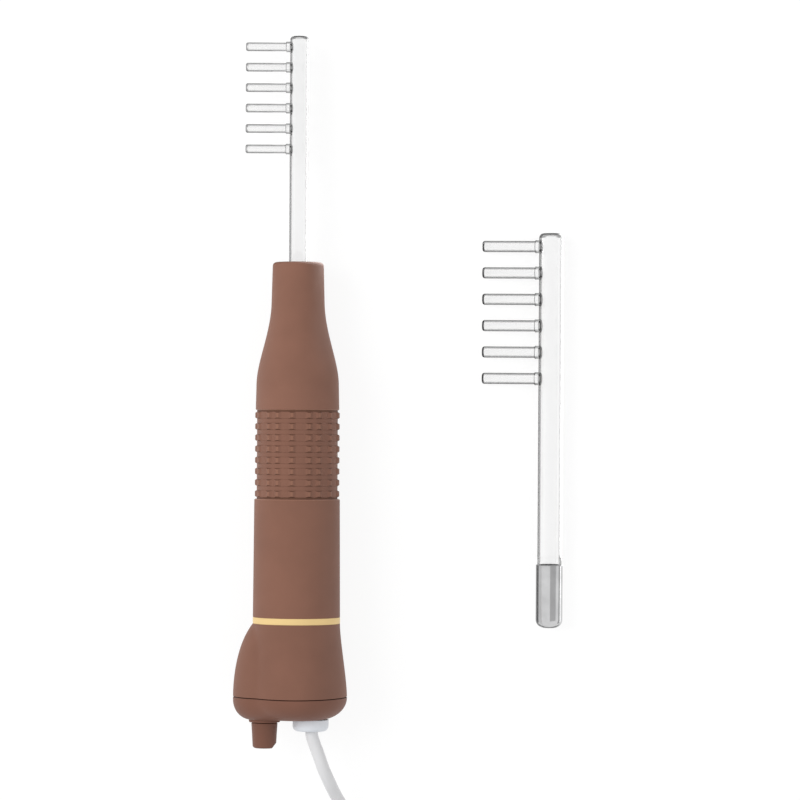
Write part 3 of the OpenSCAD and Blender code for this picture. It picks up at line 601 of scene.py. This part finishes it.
def makeGrip():
    s = gripSet
    low, high = s["foot"] + s["endGap"], s["top"] - s["endGap"]
    pitch = (s["top"] - s["foot"] - 2 * s["first"]) / (s["rows"] - 1)
    heights = [s["foot"] + s["first"] + row * pitch for row in range(s["rows"])]
    half, bandRadius = s["blockLength"] / 2, s["radius"] + s["band"]
    outline = [(s["bore"], low), (s["radius"], low)]
    for height in heights:
        outline += [(s["radius"], height - half), (bandRadius, height - half + s["bandEdge"]),
                    (bandRadius, height + half - s["bandEdge"]), (s["radius"], height + half)]
    outline += [(s["radius"], high), (s["bore"], high)]
    sleeve = spinOutline("gripSleeve", outline, s["spin"])
    sleeve.data.materials.append(bodyPlastic)
    # The bands at both ends of the grip take painted shade
    markBand(sleeve, low, heights[0] - half, s["outerFrom"], recessShadePlastic)
    markBand(sleeve, heights[-1] + half, high, s["outerFrom"], recessShadePlastic)
    block = makeGripBlock()
    middle = s["radius"] + (s["blockHeight"] - s["blockSink"]) / 2
    groupTurns = [s["turn"] + group * 360 / s["groups"] for group in range(s["groups"])]
    turns = [groupTurn + step for groupTurn in groupTurns for step in s["steps"]]
    copies = []
    for height in heights:
        for turn in turns:
            place = shift(z=height) @ turnAbout("Z", turn) @ shift(x=middle)
            copies.append(copyOf(block, "gripBlock", place))
    bpy.data.objects.remove(block)
    joinUp(sleeve, copies)
    setDown(sleeve, lay)
    finishPiece(sleeve, None, "handle", "body_plastic", "grip_sleeve")


makeGrip()


# Barrel with the core tube that carries the grip

barrelSet = {
    "foot": 51.3, "top": 110.3, "footRadius": 21.8, "topRadius": 21.4, "edge": 0.4, "footEdge": 0.12,
    "bore": 19.0, "boreTop": 106.0, "coreBore": 16.0, "coreRadius": 18.3, "coreTop": 158.7, "spin": 128,
}


def makeBarrel():
    s = barrelSet
    outline = [(s["bore"], s["foot"]), (s["footRadius"] - s["footEdge"], s["foot"]),
               (s["footRadius"], s["foot"] + s["footEdge"]), (s["topRadius"], s["top"] - s["edge"]),
               (s["topRadius"] - s["edge"], s["top"]), (s["coreRadius"], s["top"]),
               (s["coreRadius"], s["coreTop"]), (s["coreBore"], s["coreTop"]),
               (s["coreBore"], s["boreTop"]), (s["bore"], s["boreTop"])]
    barrel = spinOutline("barrelHousing", outline, s["spin"])
    barrel.data.materials.append(bodyPlastic)
    # The barrel's top edge takes a painted highlight
    markBand(barrel, s["top"] - s["edge"], s["top"], s["topRadius"] - s["edge"], edgeHighlightPlastic)
    finishPiece(setDown(barrel, lay), None, "handle", "body_plastic", "barrel_housing", angle=25)


makeBarrel()


# Gold ring between barrel and base

ringSet = {"foot": 48.0, "top": 51.3, "radius": 21.8, "bore": 18.9, "edge": 0.2, "crown": 0.05, "spin": 128}


def makeRing():
    s = ringSet
    middle = (s["foot"] + s["top"]) / 2
    outline = [(s["bore"], s["foot"]), (s["radius"] - s["edge"], s["foot"]),
               (s["radius"], s["foot"] + s["edge"]), (s["radius"] + s["crown"], middle),
               (s["radius"], s["top"] - s["edge"]), (s["radius"] - s["edge"], s["top"]),
               (s["bore"], s["top"])]
    ring = setDown(spinOutline("trimRing", outline, s["spin"]), lay)
    finishPiece(ring, goldTrim, "handle", "gold_trim", "trim_ring")


makeRing()


# Base: a round flare with a side lobe, blended where they meet

baseSet = {
    "seam": 11.5, "top": 48.0, "flareRadius": 25.5, "waistRadius": 21.8, "flarePulls": ((0, 8.5), (0, -8)),
    "lobeOffset": 14.0, "lobeRadius": 17.5, "lobePulls": ((0, 13.5), (6.7, -8.5)), "sides": 180, "levels": 22,
    "wall": 2.4, "shelf": 45.0, "shelfBore": 13.5,
    "blend": 0.9, "blendFade": 10.0, "leastBlend": 0.01, "coverBlend": 4.0,
    "seamHalf": 0.22, "seamDeep": 0.9, "seamDip": 0.5, "seamSlack": 0.01, "edge": 0.12,
    "coverRound": 14.0, "flareSide": 0.5, "lobeRound": 9.0, "lobeSide": 1.5, "coverLevels": 18, "pole": 0.001,
    "bossRadius": 7.8, "bossHeight": 1.3, "bossRoot": 0.5, "bossRound": 0.5, "bossSteps": 5, "bossSpin": 72,
    "screwCircle": 18.5, "screwTurns": (60, 120),
    "recessRadius": 3.05, "recessFoot": -3, "recessTop": 5.0, "recessSpin": 40,
}


# Distance from the axis to the blended outline of flare and lobe, at an angle
def baseReach(angle, flareRadius, lobeRadius, blend):
    offset = baseSet["lobeOffset"]
    lean = math.pi - angle
    inside = lobeRadius ** 2 - (offset * math.sin(lean)) ** 2
    if inside <= 0:
        return flareRadius
    lobe = offset * math.cos(lean) + math.sqrt(inside)
    near = max(0, blend - abs(lobe - flareRadius)) / blend
    return max(lobe, flareRadius) + near * near * blend / 4


# The seam dips a little at the front, and what lies above and below it gives way
def seamDip(height, angle):
    s = baseSet
    share = height / s["seam"] if height < s["seam"] else (s["top"] - height) / (s["top"] - s["seam"])
    return s["seamDip"] * share * max(0, -math.sin(angle)) ** 2


# The blend fades out towards the gold ring and grows towards the bottom of the cover
def blendAt(height):
    s = baseSet
    lower = max(0, s["seam"] - height) / s["seam"]
    upper = min(1, max(s["leastBlend"], (s["top"] - height) / s["blendFade"]))
    return s["blend"] * upper + (s["coverBlend"] - s["blend"]) * lower


# A shell of rings (height, flare radius, lobe radius), drawn from a circle by extruding its edge
def ringShell(name, rings):
    sides = baseSet["sides"]
    clearHands()
    bpy.ops.mesh.primitive_circle_add(vertices=sides, radius=mm)
    shell = nameIt(bpy.context.object, name)
    enterEdit()
    for _ in rings[1:]:
        bpy.ops.mesh.extrude_edges_move(TRANSFORM_OT_translate={"value": (0, 0, mm)})
    bpy.ops.object.mode_set(mode="OBJECT")
    for vertex in shell.data.vertices:
        height, flareRadius, lobeRadius = rings[vertex.index // sides]
        angle = math.tau * (vertex.index % sides) / sides
        reach = flareRadius
        if lobeRadius is not None:
            reach = baseReach(angle, flareRadius, lobeRadius, blendAt(height))
        height -= seamDip(height, angle)
        vertex.co = Vector((reach * math.cos(angle), reach * math.sin(angle), height)) * mm
    take(shell)
    bpy.ops.object.mode_set(mode="EDIT")
    sealMesh()
    return shell


# The groove at the seam is dark
def markSeam(shell, material):
    s = baseSet
    finishes = [material, seamPlastic]
    for finish in finishes:
        shell.data.materials.append(finish)
    for face in shell.data.polygons:
        centre = face.center / mm
        dip = seamDip(s["seam"], math.atan2(centre.y, centre.x))
        if abs(centre.z + dip - s["seam"]) < s["seamHalf"] + s["seamSlack"]:
            face.material_index = finishes.index(seamPlastic)


# Radius of a curve of (radius, height) points at a height
def radiusAt(curve, height):
    for (lowRadius, low), (highRadius, high) in zip(curve, curve[1:]):
        if low <= height <= high:
            return lowRadius + (highRadius - lowRadius) * (height - low) / (high - low)
    return curve[-1][0]


def wallRings(inset, low, high):
    s = baseSet

    def sideCurve(seamRadius, topRadius, pulls):
        return pullCurve((seamRadius - inset, s["seam"]), (topRadius - inset, s["top"]), *pulls, s["levels"])

    flare = sideCurve(s["flareRadius"], s["waistRadius"], s["flarePulls"])
    lobe = sideCurve(s["lobeRadius"], s["waistRadius"] - s["lobeOffset"], s["lobePulls"])
    heights = [low + (high - low) * i / s["levels"] for i in range(s["levels"] + 1)]
    return [(height, radiusAt(flare, height), radiusAt(lobe, height)) for height in heights]


# The narrow groove at the seam, on the base's side (1) or the cover's side (-1)
def seamRings(side):
    s = baseSet
    lip = s["seam"] + side * s["seamHalf"]
    places = [(lip, s["edge"]), (lip, s["seamDeep"]), (s["seam"], s["seamDeep"])]
    return [(height, s["flareRadius"] - draw, s["lobeRadius"] - draw) for height, draw in places]


def makeBase():
    s = baseSet
    outer = wallRings(0, s["seam"] + s["seamHalf"] + s["edge"], s["top"])
    inner = wallRings(s["wall"], s["seam"], s["shelf"])
    shelf = [(s["shelf"], s["shelfBore"], None), (s["top"], s["shelfBore"], None)]
    base = ringShell("baseHousing", outer[::-1] + seamRings(1) + inner + shelf + [outer[-1]])
    markSeam(base, basePlastic)
    setDown(base, lay)
    finishPiece(base, None, "handle", "body_plastic", "base_housing", angle=40)


makeBase()


# How far a rounded bottom edge is drawn in at a height
def drawIn(height, side, floorHeight, roundness):
    drop = max(0, side - height) / (side - floorHeight)
    return roundness * (1 - math.sqrt(max(0, 1 - drop * drop)))


def bowlRings(inset, floorHeight):
    s = baseSet
    flareSide, lobeSide = s["seam"] - s["flareSide"], s["seam"] - s["lobeSide"]
    turns = [math.pi / 2 * i / s["coverLevels"] for i in range(s["coverLevels"] + 1)]
    rings = []
    for height in [s["seam"]] + [flareSide - (flareSide - floorHeight) * math.sin(turn) for turn in turns]:
        flareDraw = inset + drawIn(height, flareSide, floorHeight, s["coverRound"] - inset)
        lobeDraw = inset + drawIn(height, lobeSide, floorHeight, s["lobeRound"] - inset)
        rings.append((height, s["flareRadius"] - flareDraw, s["lobeRadius"] - lobeDraw))
    return rings


def makeCover():
    s = baseSet
    outer = bowlRings(0, 0)
    outer[0] = (s["seam"] - s["seamHalf"] - s["edge"], s["flareRadius"], s["lobeRadius"])
    inner = bowlRings(s["wall"], s["wall"])
    poleAbove, poleBelow = (s["wall"], s["pole"], None), (0, s["pole"], None)
    cover = ringShell("baseCover", [poleAbove] + inner[::-1] + seamRings(-1)[::-1] + outer + [poleBelow])
    bossTop = s["wall"] + s["bossRoot"]
    outline = [(0, bossTop), (s["bossRadius"], bossTop)]
    outline += roundCorner(s["bossRadius"], -s["bossHeight"], s["bossRound"], s["bossSteps"], up=-1)
    boss = spinOutline("boss", outline + [(0, -s["bossHeight"])], s["bossSpin"])
    cutWith(cover, setDown(boss, shift(x=-knobOffset)), "UNION")
    outline = [(0, s["recessFoot"]), (s["recessRadius"], s["recessFoot"]),
               (s["recessRadius"], s["recessTop"]), (0, s["recessTop"])]
    for turn in s["screwTurns"]:
        recess = spinOutline("recess", outline, s["recessSpin"])
        cutWith(cover, setDown(recess, turnAbout("Z", turn) @ shift(x=s["screwCircle"])), "DIFFERENCE")
    markSeam(cover, coverPlastic)
    setDown(cover, lay)
    finishPiece(cover, None, "handle", "cover_plastic", "base_cover", angle=40)


makeCover()


# Knob with one oblique facet

knobSet = {
    "top": -1.6, "end": -14.3, "radius": 6.55, "stepRadius": 6.3, "step": -5.6, "endRadius": 5.9,
    "round": 1.5, "roundSteps": 6, "facetIn": 2.2, "facetLean": 40, "edge": 0.3, "spin": 72,
}


def makeKnob():
    s = knobSet
    outline = [(0, s["top"]), (s["radius"] - s["edge"], s["top"]), (s["radius"], s["top"] - s["edge"]),
               (s["stepRadius"], s["step"])]
    outline += roundCorner(s["endRadius"], s["end"], s["round"], s["roundSteps"], up=-1) + [(0, s["end"])]
    knob = spinOutline("regulatorKnob", outline, s["spin"])
    take(knob)
    enterEdit()
    lean = math.radians(s["facetLean"])
    bpy.ops.mesh.bisect(plane_co=Vector((s["endRadius"] - s["facetIn"], 0, s["end"])) * mm,
                        plane_no=(math.cos(lean), 0, -math.sin(lean)), use_fill=True, clear_outer=True)
    bpy.ops.mesh.select_all(action="SELECT")
    bpy.ops.mesh.normals_make_consistent(inside=False)
    bpy.ops.object.mode_set(mode="OBJECT")
    setDown(knob, lay @ shift(x=-knobOffset))
    finishPiece(knob, knobPlastic, "regulator", "cover_plastic", "knob", angle=28)


makeKnob()


# Collar round the cord

collarSet = {
    "offset": 7.4, "radius": 9.0, "length": 5.8, "round": 2.8, "roundSteps": 8, "neckRadius": 4.6,
    "flangeRadius": 6.0, "wall": 2.4, "flange": 2.0, "bore": 3.35, "boreDepth": 1.0, "lip": 0.7, "spin": 80,
}


def makeCollar():
    s = collarSet
    flangeTop, end = s["wall"] + s["flange"], -s["length"]
    outline = [(0, flangeTop), (s["flangeRadius"], flangeTop), (s["flangeRadius"], s["wall"]),
               (s["neckRadius"], s["wall"]), (s["neckRadius"], 0), (s["radius"], 0)]
    outline += roundCorner(s["radius"], end, s["round"], s["roundSteps"], up=-1)
    outline += [(s["bore"] + s["lip"], end), (s["bore"], end + s["lip"]), (s["bore"], end + s["boreDepth"]),
                (0, end + s["boreDepth"])]
    collar = setDown(spinOutline("strainRelief", outline, s["spin"]), lay @ shift(x=s["offset"]))
    finishPiece(collar, collarRubber, "handle", "collar_rubber", "strain_relief", angle=35)


makeCollar()
print("handle done")


# Glass combs

capSet = {
    "radius": 6.75, "length": 32.0, "wall": 0.6, "floor": 3.2, "dome": 4.2, "domeSteps": 10,
    "rim": 0.35, "rimSteps": 6, "gap": 0.3, "depth": 2.7, "spin": 96,
}
fittedSet = {
    "name": "fitted", "radius": 4.65, "tip": 147.9, "round": 1.8, "first": 5.4, "pitch": 10.23, "teeth": 6,
    "reach": 26.7, "toothRadius": 2.15, "clear": 0.95, "tipFrom": 0.03, "tipShade": 0.2,
}
# The spare comb's glass is clearer than the fitted comb's: painted light that offsets the table's shadow seen
# through it
largeSet = {
    "name": "large", "radius": 6.1, "tip": 199.0, "round": 2.4, "first": 6.8, "pitch": 13.3, "teeth": 6,
    "reach": 34.7, "toothRadius": 2.8, "clear": 0.985, "tipFrom": 0.06, "tipShade": 0.4,
}
glassSet = {
    "wall": 1.0, "rootRadius": 6.1, "rootTaper": 3.0, "crownSteps": 10, "tubeSpin": 96,
    "weldGrow": 0.5, "weldLength": 1.8, "weldTaper": 0.3, "weldLine": 0.15,
    "tipShare": 0.45, "innerRound": 0.2, "tipSteps": 8, "toothSpin": 56, "tipSpan": 0.07, "tipEdge": 0.3,
}
skinNames = ("tube", "bore", "tooth", "crown", "tip", "weld")


# Each part of a comb has a skin with painted shade that darkens at its own angle, from (edge on, share of the
# light); the welds are darker at every angle
def makeSkins(comb):
    tipFrom, tipShade = comb["tipFrom"], comb["tipShade"]
    rims = {
        "tube": ((0.3, 1), (0.42, 0.22), (1, 0.12)),
        "bore": (),
        "tooth": ((0.14, 1), (0.3, 0.2), (1, 0.1)),
        "crown": ((0.08, 1), (0.18, 0.25), (1, 0.12)),
        "tip": ((tipFrom, 1), (tipFrom + glassSet["tipSpan"], tipShade), (1, glassSet["tipEdge"] * tipShade)),
        "weld": ((0, 0.32), (1, 0.14)),
    }
    clear = [comb["clear"]] * 3
    return [glassFinish(comb["name"] + skin.title() + "Glass", clear, rims[skin]) for skin in skinNames]


# A skin for the faces of a form between two heights
def skinWith(form, comb, skin, low=-math.inf, high=math.inf):
    if not form.data.materials:
        for material in comb["skins"]:
            form.data.materials.append(material)
    for face in form.data.polygons:
        if low < face.center.z / mm < high:
            face.material_index = skinNames.index(skin)
    return form


# A tube slimmer than the cap's bore is wider at its root
def tubeForm(comb, inset):
    g = glassSet
    foot = capSet["floor"] + capSet["gap"] + inset
    flare = capSet["length"] + capSet["depth"] - capSet["gap"]
    radius, top, corner = comb["radius"] - inset, comb["tip"] - inset, comb["round"] - inset
    outline = [(0, foot), (g["rootRadius"] - inset, foot)]
    if comb["radius"] < g["rootRadius"]:
        outline += [(g["rootRadius"] - inset, flare - g["rootTaper"]), (radius, flare)]
    outline += roundCorner(radius, top, corner, g["crownSteps"]) + [(0, top)]
    form = spinOutline("tubeForm", outline, g["tubeSpin"])
    if inset:
        return skinWith(form, comb, "bore")
    skinWith(form, comb, "tube")
    return skinWith(form, comb, "crown", low=top - corner)


def toothForm(comb, inset):
    g = glassSet
    radius, reach = comb["toothRadius"], comb["reach"]
    corner = max(radius * g["tipShare"] - inset, g["innerRound"])
    root = comb["radius"] + g["weldLength"]
    weld, weldRadius = comb["radius"] + g["weldLine"], radius + g["weldGrow"]
    outline = [(0, 0), (radius - inset, 0)]
    if not inset:
        outline = [(0, 0), (weldRadius, 0), (weldRadius, weld), (weldRadius, root),
                   (radius, root + g["weldTaper"])]
    outline += roundCorner(radius - inset, reach - inset, corner, g["tipSteps"]) + [(0, reach - inset)]
    form = spinOutline("toothForm", outline, g["toothSpin"])
    if inset:
        return skinWith(form, comb, "bore")
    skinWith(form, comb, "tooth")
    skinWith(form, comb, "weld", high=weld)
    skinWith(form, comb, "bore", root, root + g["weldTaper"])
    return skinWith(form, comb, "tip", low=reach - corner)


def combForm(comb, inset):
    form = tubeForm(comb, inset)
    tooth = toothForm(comb, inset)
    for i in range(comb["teeth"]):
        height = comb["tip"] - comb["first"] - i * comb["pitch"]
        cutWith(form, copyOf(tooth, "tooth", shift(z=height) @ turnAbout("Y", -90)), "UNION")
    bpy.data.objects.remove(tooth)
    return form


def makeComb(name, comb, place, body, node):
    comb["skins"] = makeSkins(comb)
    glass = nameIt(combForm(comb, 0), name)
    cutWith(glass, combForm(comb, glassSet["wall"]), "DIFFERENCE")
    setDown(glass, place)
    finishPiece(glass, None, body, "clear_glass", node, angle=40)


def makeCap(name, place, body, node):
    s = capSet
    dome = roundCorner(s["radius"], 0, s["dome"], s["domeSteps"], up=-1)[::-1]
    rim = roundCorner(s["radius"], s["length"], s["rim"], s["rimSteps"])
    bore = s["radius"] - s["wall"]
    outline = [(0, 0)] + dome + rim + [(bore, s["length"]), (bore, s["floor"]), (0, s["floor"])]
    cap = setDown(spinOutline(name, outline, s["spin"]), place)
    finishPiece(cap, capMetal, body, "cap_metal", node)


# The spare comb lies on its cap and on the tips of its teeth
capFoot = neckSet["mouth"] - capSet["depth"] - capSet["length"]
fittedPlace = lay @ shift(z=capFoot)
spareLow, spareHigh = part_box("spare_cap")
spareFoot = Vector(((spareLow.x + spareHigh.x) / 2, spareLow.y, capSet["radius"] * mm))
roll = math.asin((capSet["radius"] - largeSet["toothRadius"]) / largeSet["reach"])
sparePlace = Matrix.Translation(spareFoot) @ turnAbout("X", -90) @ Matrix.Rotation(-roll, 4, "Z")
makeComb("fittedComb", fittedSet, fittedPlace, "fitted_electrode", "electrode_glass")
makeCap("fittedCap", fittedPlace, "fitted_electrode", "electrode_cap")
makeComb("spareComb", largeSet, sparePlace, "spare_electrode", "spare_glass")
makeCap("spareCap", sparePlace, "spare_electrode", "spare_cap")
print("combs done")


# Plug and tie on the cord

plugSet = {
    "length": 24.0, "width": 25.4, "thickness": 13.7, "sideShare": 0.499, "sideSteps": 12,
    "edge": 1.6, "edgeSteps": 4, "edgeAngle": 40,
    "neckLength": 12.0, "neckRadius": 6.0, "neckRoot": 4.0, "neckEnd": 3.75, "neckEdge": 0.4, "neckSpin": 56,
    "ridges": 4, "ridgeFirst": 1.0, "ridgePitch": 2.6, "ridgeDeep": 0.5, "ridgeSlope": 0.4, "ridgeFloor": 0.6,
    "pinRadius": 2.0, "pinLength": 19.0, "pinGap": 18.6, "pinRound": 1.0, "pinSteps": 6, "pinSpin": 40,
    "sleeveLength": 10.0, "sleeveRadius": 1.6, "sleeveRoot": 1.0,
}


# The plug's own frame has z back along the cord and y up
def plugPlace():
    side = Vector((cordHeading.y, -cordHeading.x, 0))
    up = Vector((0, 0, 1))
    turn = Matrix((side, up, side.cross(up))).transposed()
    return Matrix.Translation(cordPoints[-1]) @ turn.to_4x4()


def plugNeck():
    s = plugSet
    root = -s["neckLength"] - s["neckRoot"]
    outline = [(0, root), (s["neckRadius"], root)]
    for i in range(s["ridges"]):
        share = (i + 0.5) / s["ridges"]
        radius = s["neckRadius"] + (s["neckEnd"] - s["neckRadius"]) * share
        height = -s["neckLength"] + s["ridgeFirst"] + i * s["ridgePitch"]
        groove, low = radius - s["ridgeDeep"], height + s["ridgeSlope"]
        high = low + s["ridgeFloor"]
        outline += [(radius, height), (groove, low), (groove, high), (radius, high + s["ridgeSlope"])]
    outline += [(s["neckEnd"], -s["neckEdge"]), (s["neckEnd"] - s["neckEdge"], 0), (0, 0)]
    return spinOutline("plugNeck", outline, s["neckSpin"])


def makePlug():
    s = plugSet
    place = plugPlace()
    face = -s["neckLength"] - s["length"]
    sleeveEnd, tip = face - s["sleeveLength"], face - s["pinLength"]
    body = boxOf("plugBody", s["width"], s["thickness"], s["length"])
    setDown(body, shift(z=-s["neckLength"] - s["length"] / 2))
    choose(body, "EDGE", lambda edge: runsAlong(body, edge, axis=2))
    bpy.ops.mesh.bevel(offset=s["thickness"] * mm * s["sideShare"], segments=s["sideSteps"], affect="EDGES")
    leaveEdit()
    soften = body.modifiers.new("edges", "BEVEL")
    soften.width = s["edge"] * mm
    soften.segments = s["edgeSteps"]
    soften.angle_limit = math.radians(s["edgeAngle"])
    take(body)
    bpy.ops.object.modifier_apply(modifier=soften.name)
    cutWith(body, plugNeck(), "UNION")
    sleeveOutline = [(0, face + s["sleeveRoot"]), (s["sleeveRadius"], face + s["sleeveRoot"]),
                     (s["sleeveRadius"], sleeveEnd), (0, sleeveEnd)]
    pinOutline = [(0, sleeveEnd), (s["pinRadius"], sleeveEnd)]
    pinOutline += roundCorner(s["pinRadius"], tip, s["pinRound"], s["pinSteps"], up=-1) + [(0, tip)]
    sides = [shift(x=side * s["pinGap"] / 2) for side in (-1, 1)]
    for side in sides:
        cutWith(body, setDown(spinOutline("pinSleeve", sleeveOutline, s["pinSpin"]), side), "UNION")
    setDown(body, place)
    finishPiece(body, plugPlastic, "handle", "plug_plastic", "plug_body", angle=35)
    pins = [setDown(spinOutline("plugPins", pinOutline, s["pinSpin"]), place @ side) for side in sides]
    joined = nameIt(joinUp(pins[0], pins[1:]), "plugPins")
    finishPiece(joined, pinMetal, "handle", "brass_parts", "plug_pins")
    return body, joined


plugBody, plugPins = makePlug()

tieSet = {"turn": 200, "width": 9.0, "thick": 0.5, "gap": 0.3, "round": 2.4, "roundSteps": 6}


def makeTie():
    s = tieSet
    pitch = cordSet["diameter"] + cordSet["turnGap"]
    clear = cordSet["diameter"] / 2 + s["gap"]
    low, high = cordSet["low"] - clear, cordSet["low"] + pitch + clear
    tie = boxOf("cordTie", cordSet["turns"] * pitch + 2 * clear, s["width"], high - low)
    choose(tie, "FACE", lambda face: abs(face.normal.y) > squareOn)
    bpy.ops.mesh.delete(type="ONLY_FACE")
    leaveEdit()
    choose(tie, "EDGE", lambda edge: runsAlong(tie, edge, axis=1))
    bpy.ops.mesh.bevel(offset=s["round"] * mm, segments=s["roundSteps"], affect="EDGES")
    leaveEdit()
    band = tie.modifiers.new("band", "SOLIDIFY")
    band.thickness = s["thick"] * mm
    band.offset = 1
    bpy.ops.object.modifier_apply(modifier=band.name)
    centre = Matrix.Translation(onTable(wandOrigin)) @ shift(*cordSet["coilCentre"])
    away = shift(x=cordSet["middleRadius"], z=(low + high) / 2)
    setDown(tie, centre @ turnAbout("Z", s["turn"]) @ away)
    return finishPiece(tie, tiePlastic, "handle", "tie_plastic", "cord_tie")


cordTie = makeTie()
print("cord pieces done")


# Inner pieces keep their solids and get their finishes

innerFinishes = [
    (steelMetal, ["cover_screws", "clamp_screws", "capacitor_clip", "interrupter_frame", "interrupter_core"]),
    (steelMetal, ["reed", "reed_clamp"]),
    (brassMetal, ["adjusting_screw", "knob_bush", "contact_cup"]),
    (insulatorResin, ["socket_sleeve", "hv_former", "chassis_board"]),
    (copperWinding, ["hv_secondary", "hv_primary", "interrupter_coil"]),
    (capacitorCase, ["capacitor"]),
    (wireSheath, ["hookup_wires"]),
    (cordSheath, ["inner_lead"]),
    (tiePlastic, ["cord_clamp"]),
]
for material, names in innerFinishes:
    for name in names:
        node = frame["nodes"][name]
        node.data.materials.clear()
        node.data.materials.append(material)
print("inner pieces finished")


# Stage: white table, soft light from the left, and cards for the gloss

stageSet = {
    "floorSize": 6.0, "floorWhite": 0.9, "floorRough": 0.9, "glow": 0.82, "glowPower": 1.06,
    "worldLight": 0.62,
}
lampSet = {
    "keyLight": {"power": 26, "size": 1.6, "place": (-1.5, 0.5, 1.5)},
    "fillLight": {"power": 6, "size": 1.4, "place": (1.5, -0.3, 1.6)},
}


# 1 for the rays that look at the stage, 0 for those that light the pieces
def lookingRays(nodes, links):
    paths = nodes.new("ShaderNodeLightPath")
    looking = paths.outputs["Is Camera Ray"]
    for kind in ("Is Glossy Ray", "Is Transmission Ray"):
        either = nodes.new("ShaderNodeMath")
        either.operation = "MAXIMUM"
        links.new(looking, either.inputs[0])
        links.new(paths.outputs[kind], either.inputs[1])
        looking = either.outputs[0]
    return looking


def makeFloor():
    clearHands()
    bpy.ops.mesh.primitive_plane_add(size=stageSet["floorSize"])
    floor = nameIt(bpy.context.object, "tableTop")
    material, nodes, links, shader = newMaterial("tableWhite")
    white = (*[stageSet["floorWhite"]] * 3, 1)
    setInputs(shader, {"Base Color": white, "Roughness": stageSet["floorRough"], "Specular IOR Level": 0})
    share = nodes.new("ShaderNodeMapRange")
    setInputs(share, {"To Max": stageSet["glow"]})
    links.new(lookingRays(nodes, links), share.inputs["Value"])
    glow = nodes.new("ShaderNodeEmission")
    setInputs(glow, {"Strength": stageSet["glowPower"]})
    mix = nodes.new("ShaderNodeMixShader")
    links.new(share.outputs["Result"], mix.inputs["Fac"])
    links.new(shader.outputs[0], mix.inputs[1])
    links.new(glow.outputs[0], mix.inputs[2])
    links.new(mix.outputs[0], nodes["Material Output"].inputs["Surface"])
    floor.data.materials.append(material)


def makeWorld():
    world = bpy.data.worlds.new("studio")
    bpy.context.scene.world = world
    world.use_nodes = True
    nodes, links = world.node_tree.nodes, world.node_tree.links
    background = nodes["Background"]
    strength = nodes.new("ShaderNodeMapRange")
    setInputs(strength, {"To Min": stageSet["worldLight"], "To Max": 1})
    links.new(lookingRays(nodes, links), strength.inputs["Value"])
    links.new(strength.outputs["Result"], background.inputs["Strength"])
    setInputs(background, {"Color": (1, 1, 1, 1)})


# Cards that only gloss shows, in mm across, along and up from the foot of the wand (fitted...) or of the
# spare comb: dark on the left and bright on the right of the glass, dark beyond its tips, greys round the
# cap and behind its rim, and two grey ones high over the right side and the far end
cardSet = {
    "fittedDark": {"across": (-90, -14), "along": (230, 350), "power": 0.05},
    "fittedBright": {"across": (14, 80), "along": (230, 350), "power": 7.5},
    "spareDark": {"across": (-45, -7.5), "along": (34, 210), "power": 0.05},
    "spareBright": {"across": (7.5, 45), "along": (34, 210), "power": 7.5},
    "fittedTip": {"across": (-9, 9), "along": (352, 400), "power": 0.05},
    "spareTip": {"across": (-14, 14), "along": (211, 260), "power": 0.05},
    "capShade": {"across": (-15, -7.5), "along": (-6, 33), "power": 0.4},
    "capDark": {"across": (-30, -15.5), "along": (-6, 33), "power": 0.14},
    "capDim": {"across": (-45.5, -30.5), "along": (-6, 33), "power": 0.45},
    "capLeft": {"across": (-46, -46), "along": (-30, 60), "up": (0, 23), "power": 0.8},
    "capNear": {"across": (7.5, 26.5), "along": (-6, 33), "power": 0.95},
    "capBright": {"across": (27, 49.5), "along": (-6, 33), "power": 2.2},
    "capBelow": {"across": (-20, 20), "along": (-30, -6.5), "power": 0.35},
    "capLine": {"across": (50, 50), "along": (-30, 60), "up": (0, 14), "power": 0.4},
    "rimShade": {"across": (-45, 45), "along": (35, 35), "up": (0, 40), "power": 0.5},
    "capOver": {"across": (60, 1200), "along": (-250, 250), "up": (800, 800), "power": 0.6},
    "rimOver": {"across": (-1500, 1500), "along": (300, 3000), "up": (800, 800), "power": 0.5},
}
cardThick = 0.05
lyingUp = (0.5, 0.5)


def makeCard(name, origin, across, along, power, up=lyingUp):
    clearHands()
    low, high = (Vector(corner) * mm for corner in zip(across, along, up))
    bpy.ops.mesh.primitive_cube_add(size=1, location=origin + (low + high) / 2)
    card = nameIt(bpy.context.object, name)
    card.scale = [max(edge, cardThick * mm) for edge in high - low]
    bpy.ops.object.transform_apply(location=True, rotation=True, scale=True)
    material, _, _, shader = newMaterial(name)
    setInputs(shader, {"Base Color": (0, 0, 0, 1), "Specular IOR Level": 0})
    setInputs(shader, {"Emission Color": (1, 1, 1, 1), "Emission Strength": power})
    card.data.materials.append(material)
    card.visible_camera = False
    card.visible_diffuse = False
    card.visible_transmission = False
    card.visible_shadow = False


def makeLamp(name, power, size, place):
    clearHands()
    bpy.ops.object.light_add(type="AREA", location=place)
    lamp = bpy.context.object
    lamp.name = name
    lamp.data.energy = power
    lamp.data.shape = "DISK"
    lamp.data.size = size
    lamp.visible_glossy = False
    lamp.visible_transmission = False
    lamp.rotation_euler = (-Vector(place)).to_track_quat("-Z", "Y").to_euler()


makeFloor()
makeWorld()
for name, card in cardSet.items():
    beside = wandOrigin if name.startswith("fitted") else sparePlace.translation
    makeCard(name, onTable(beside), **card)
for name, lamp in lampSet.items():
    makeLamp(name, **lamp)
bpy.context.scene.view_settings.view_transform = "Standard"
print("stage set")
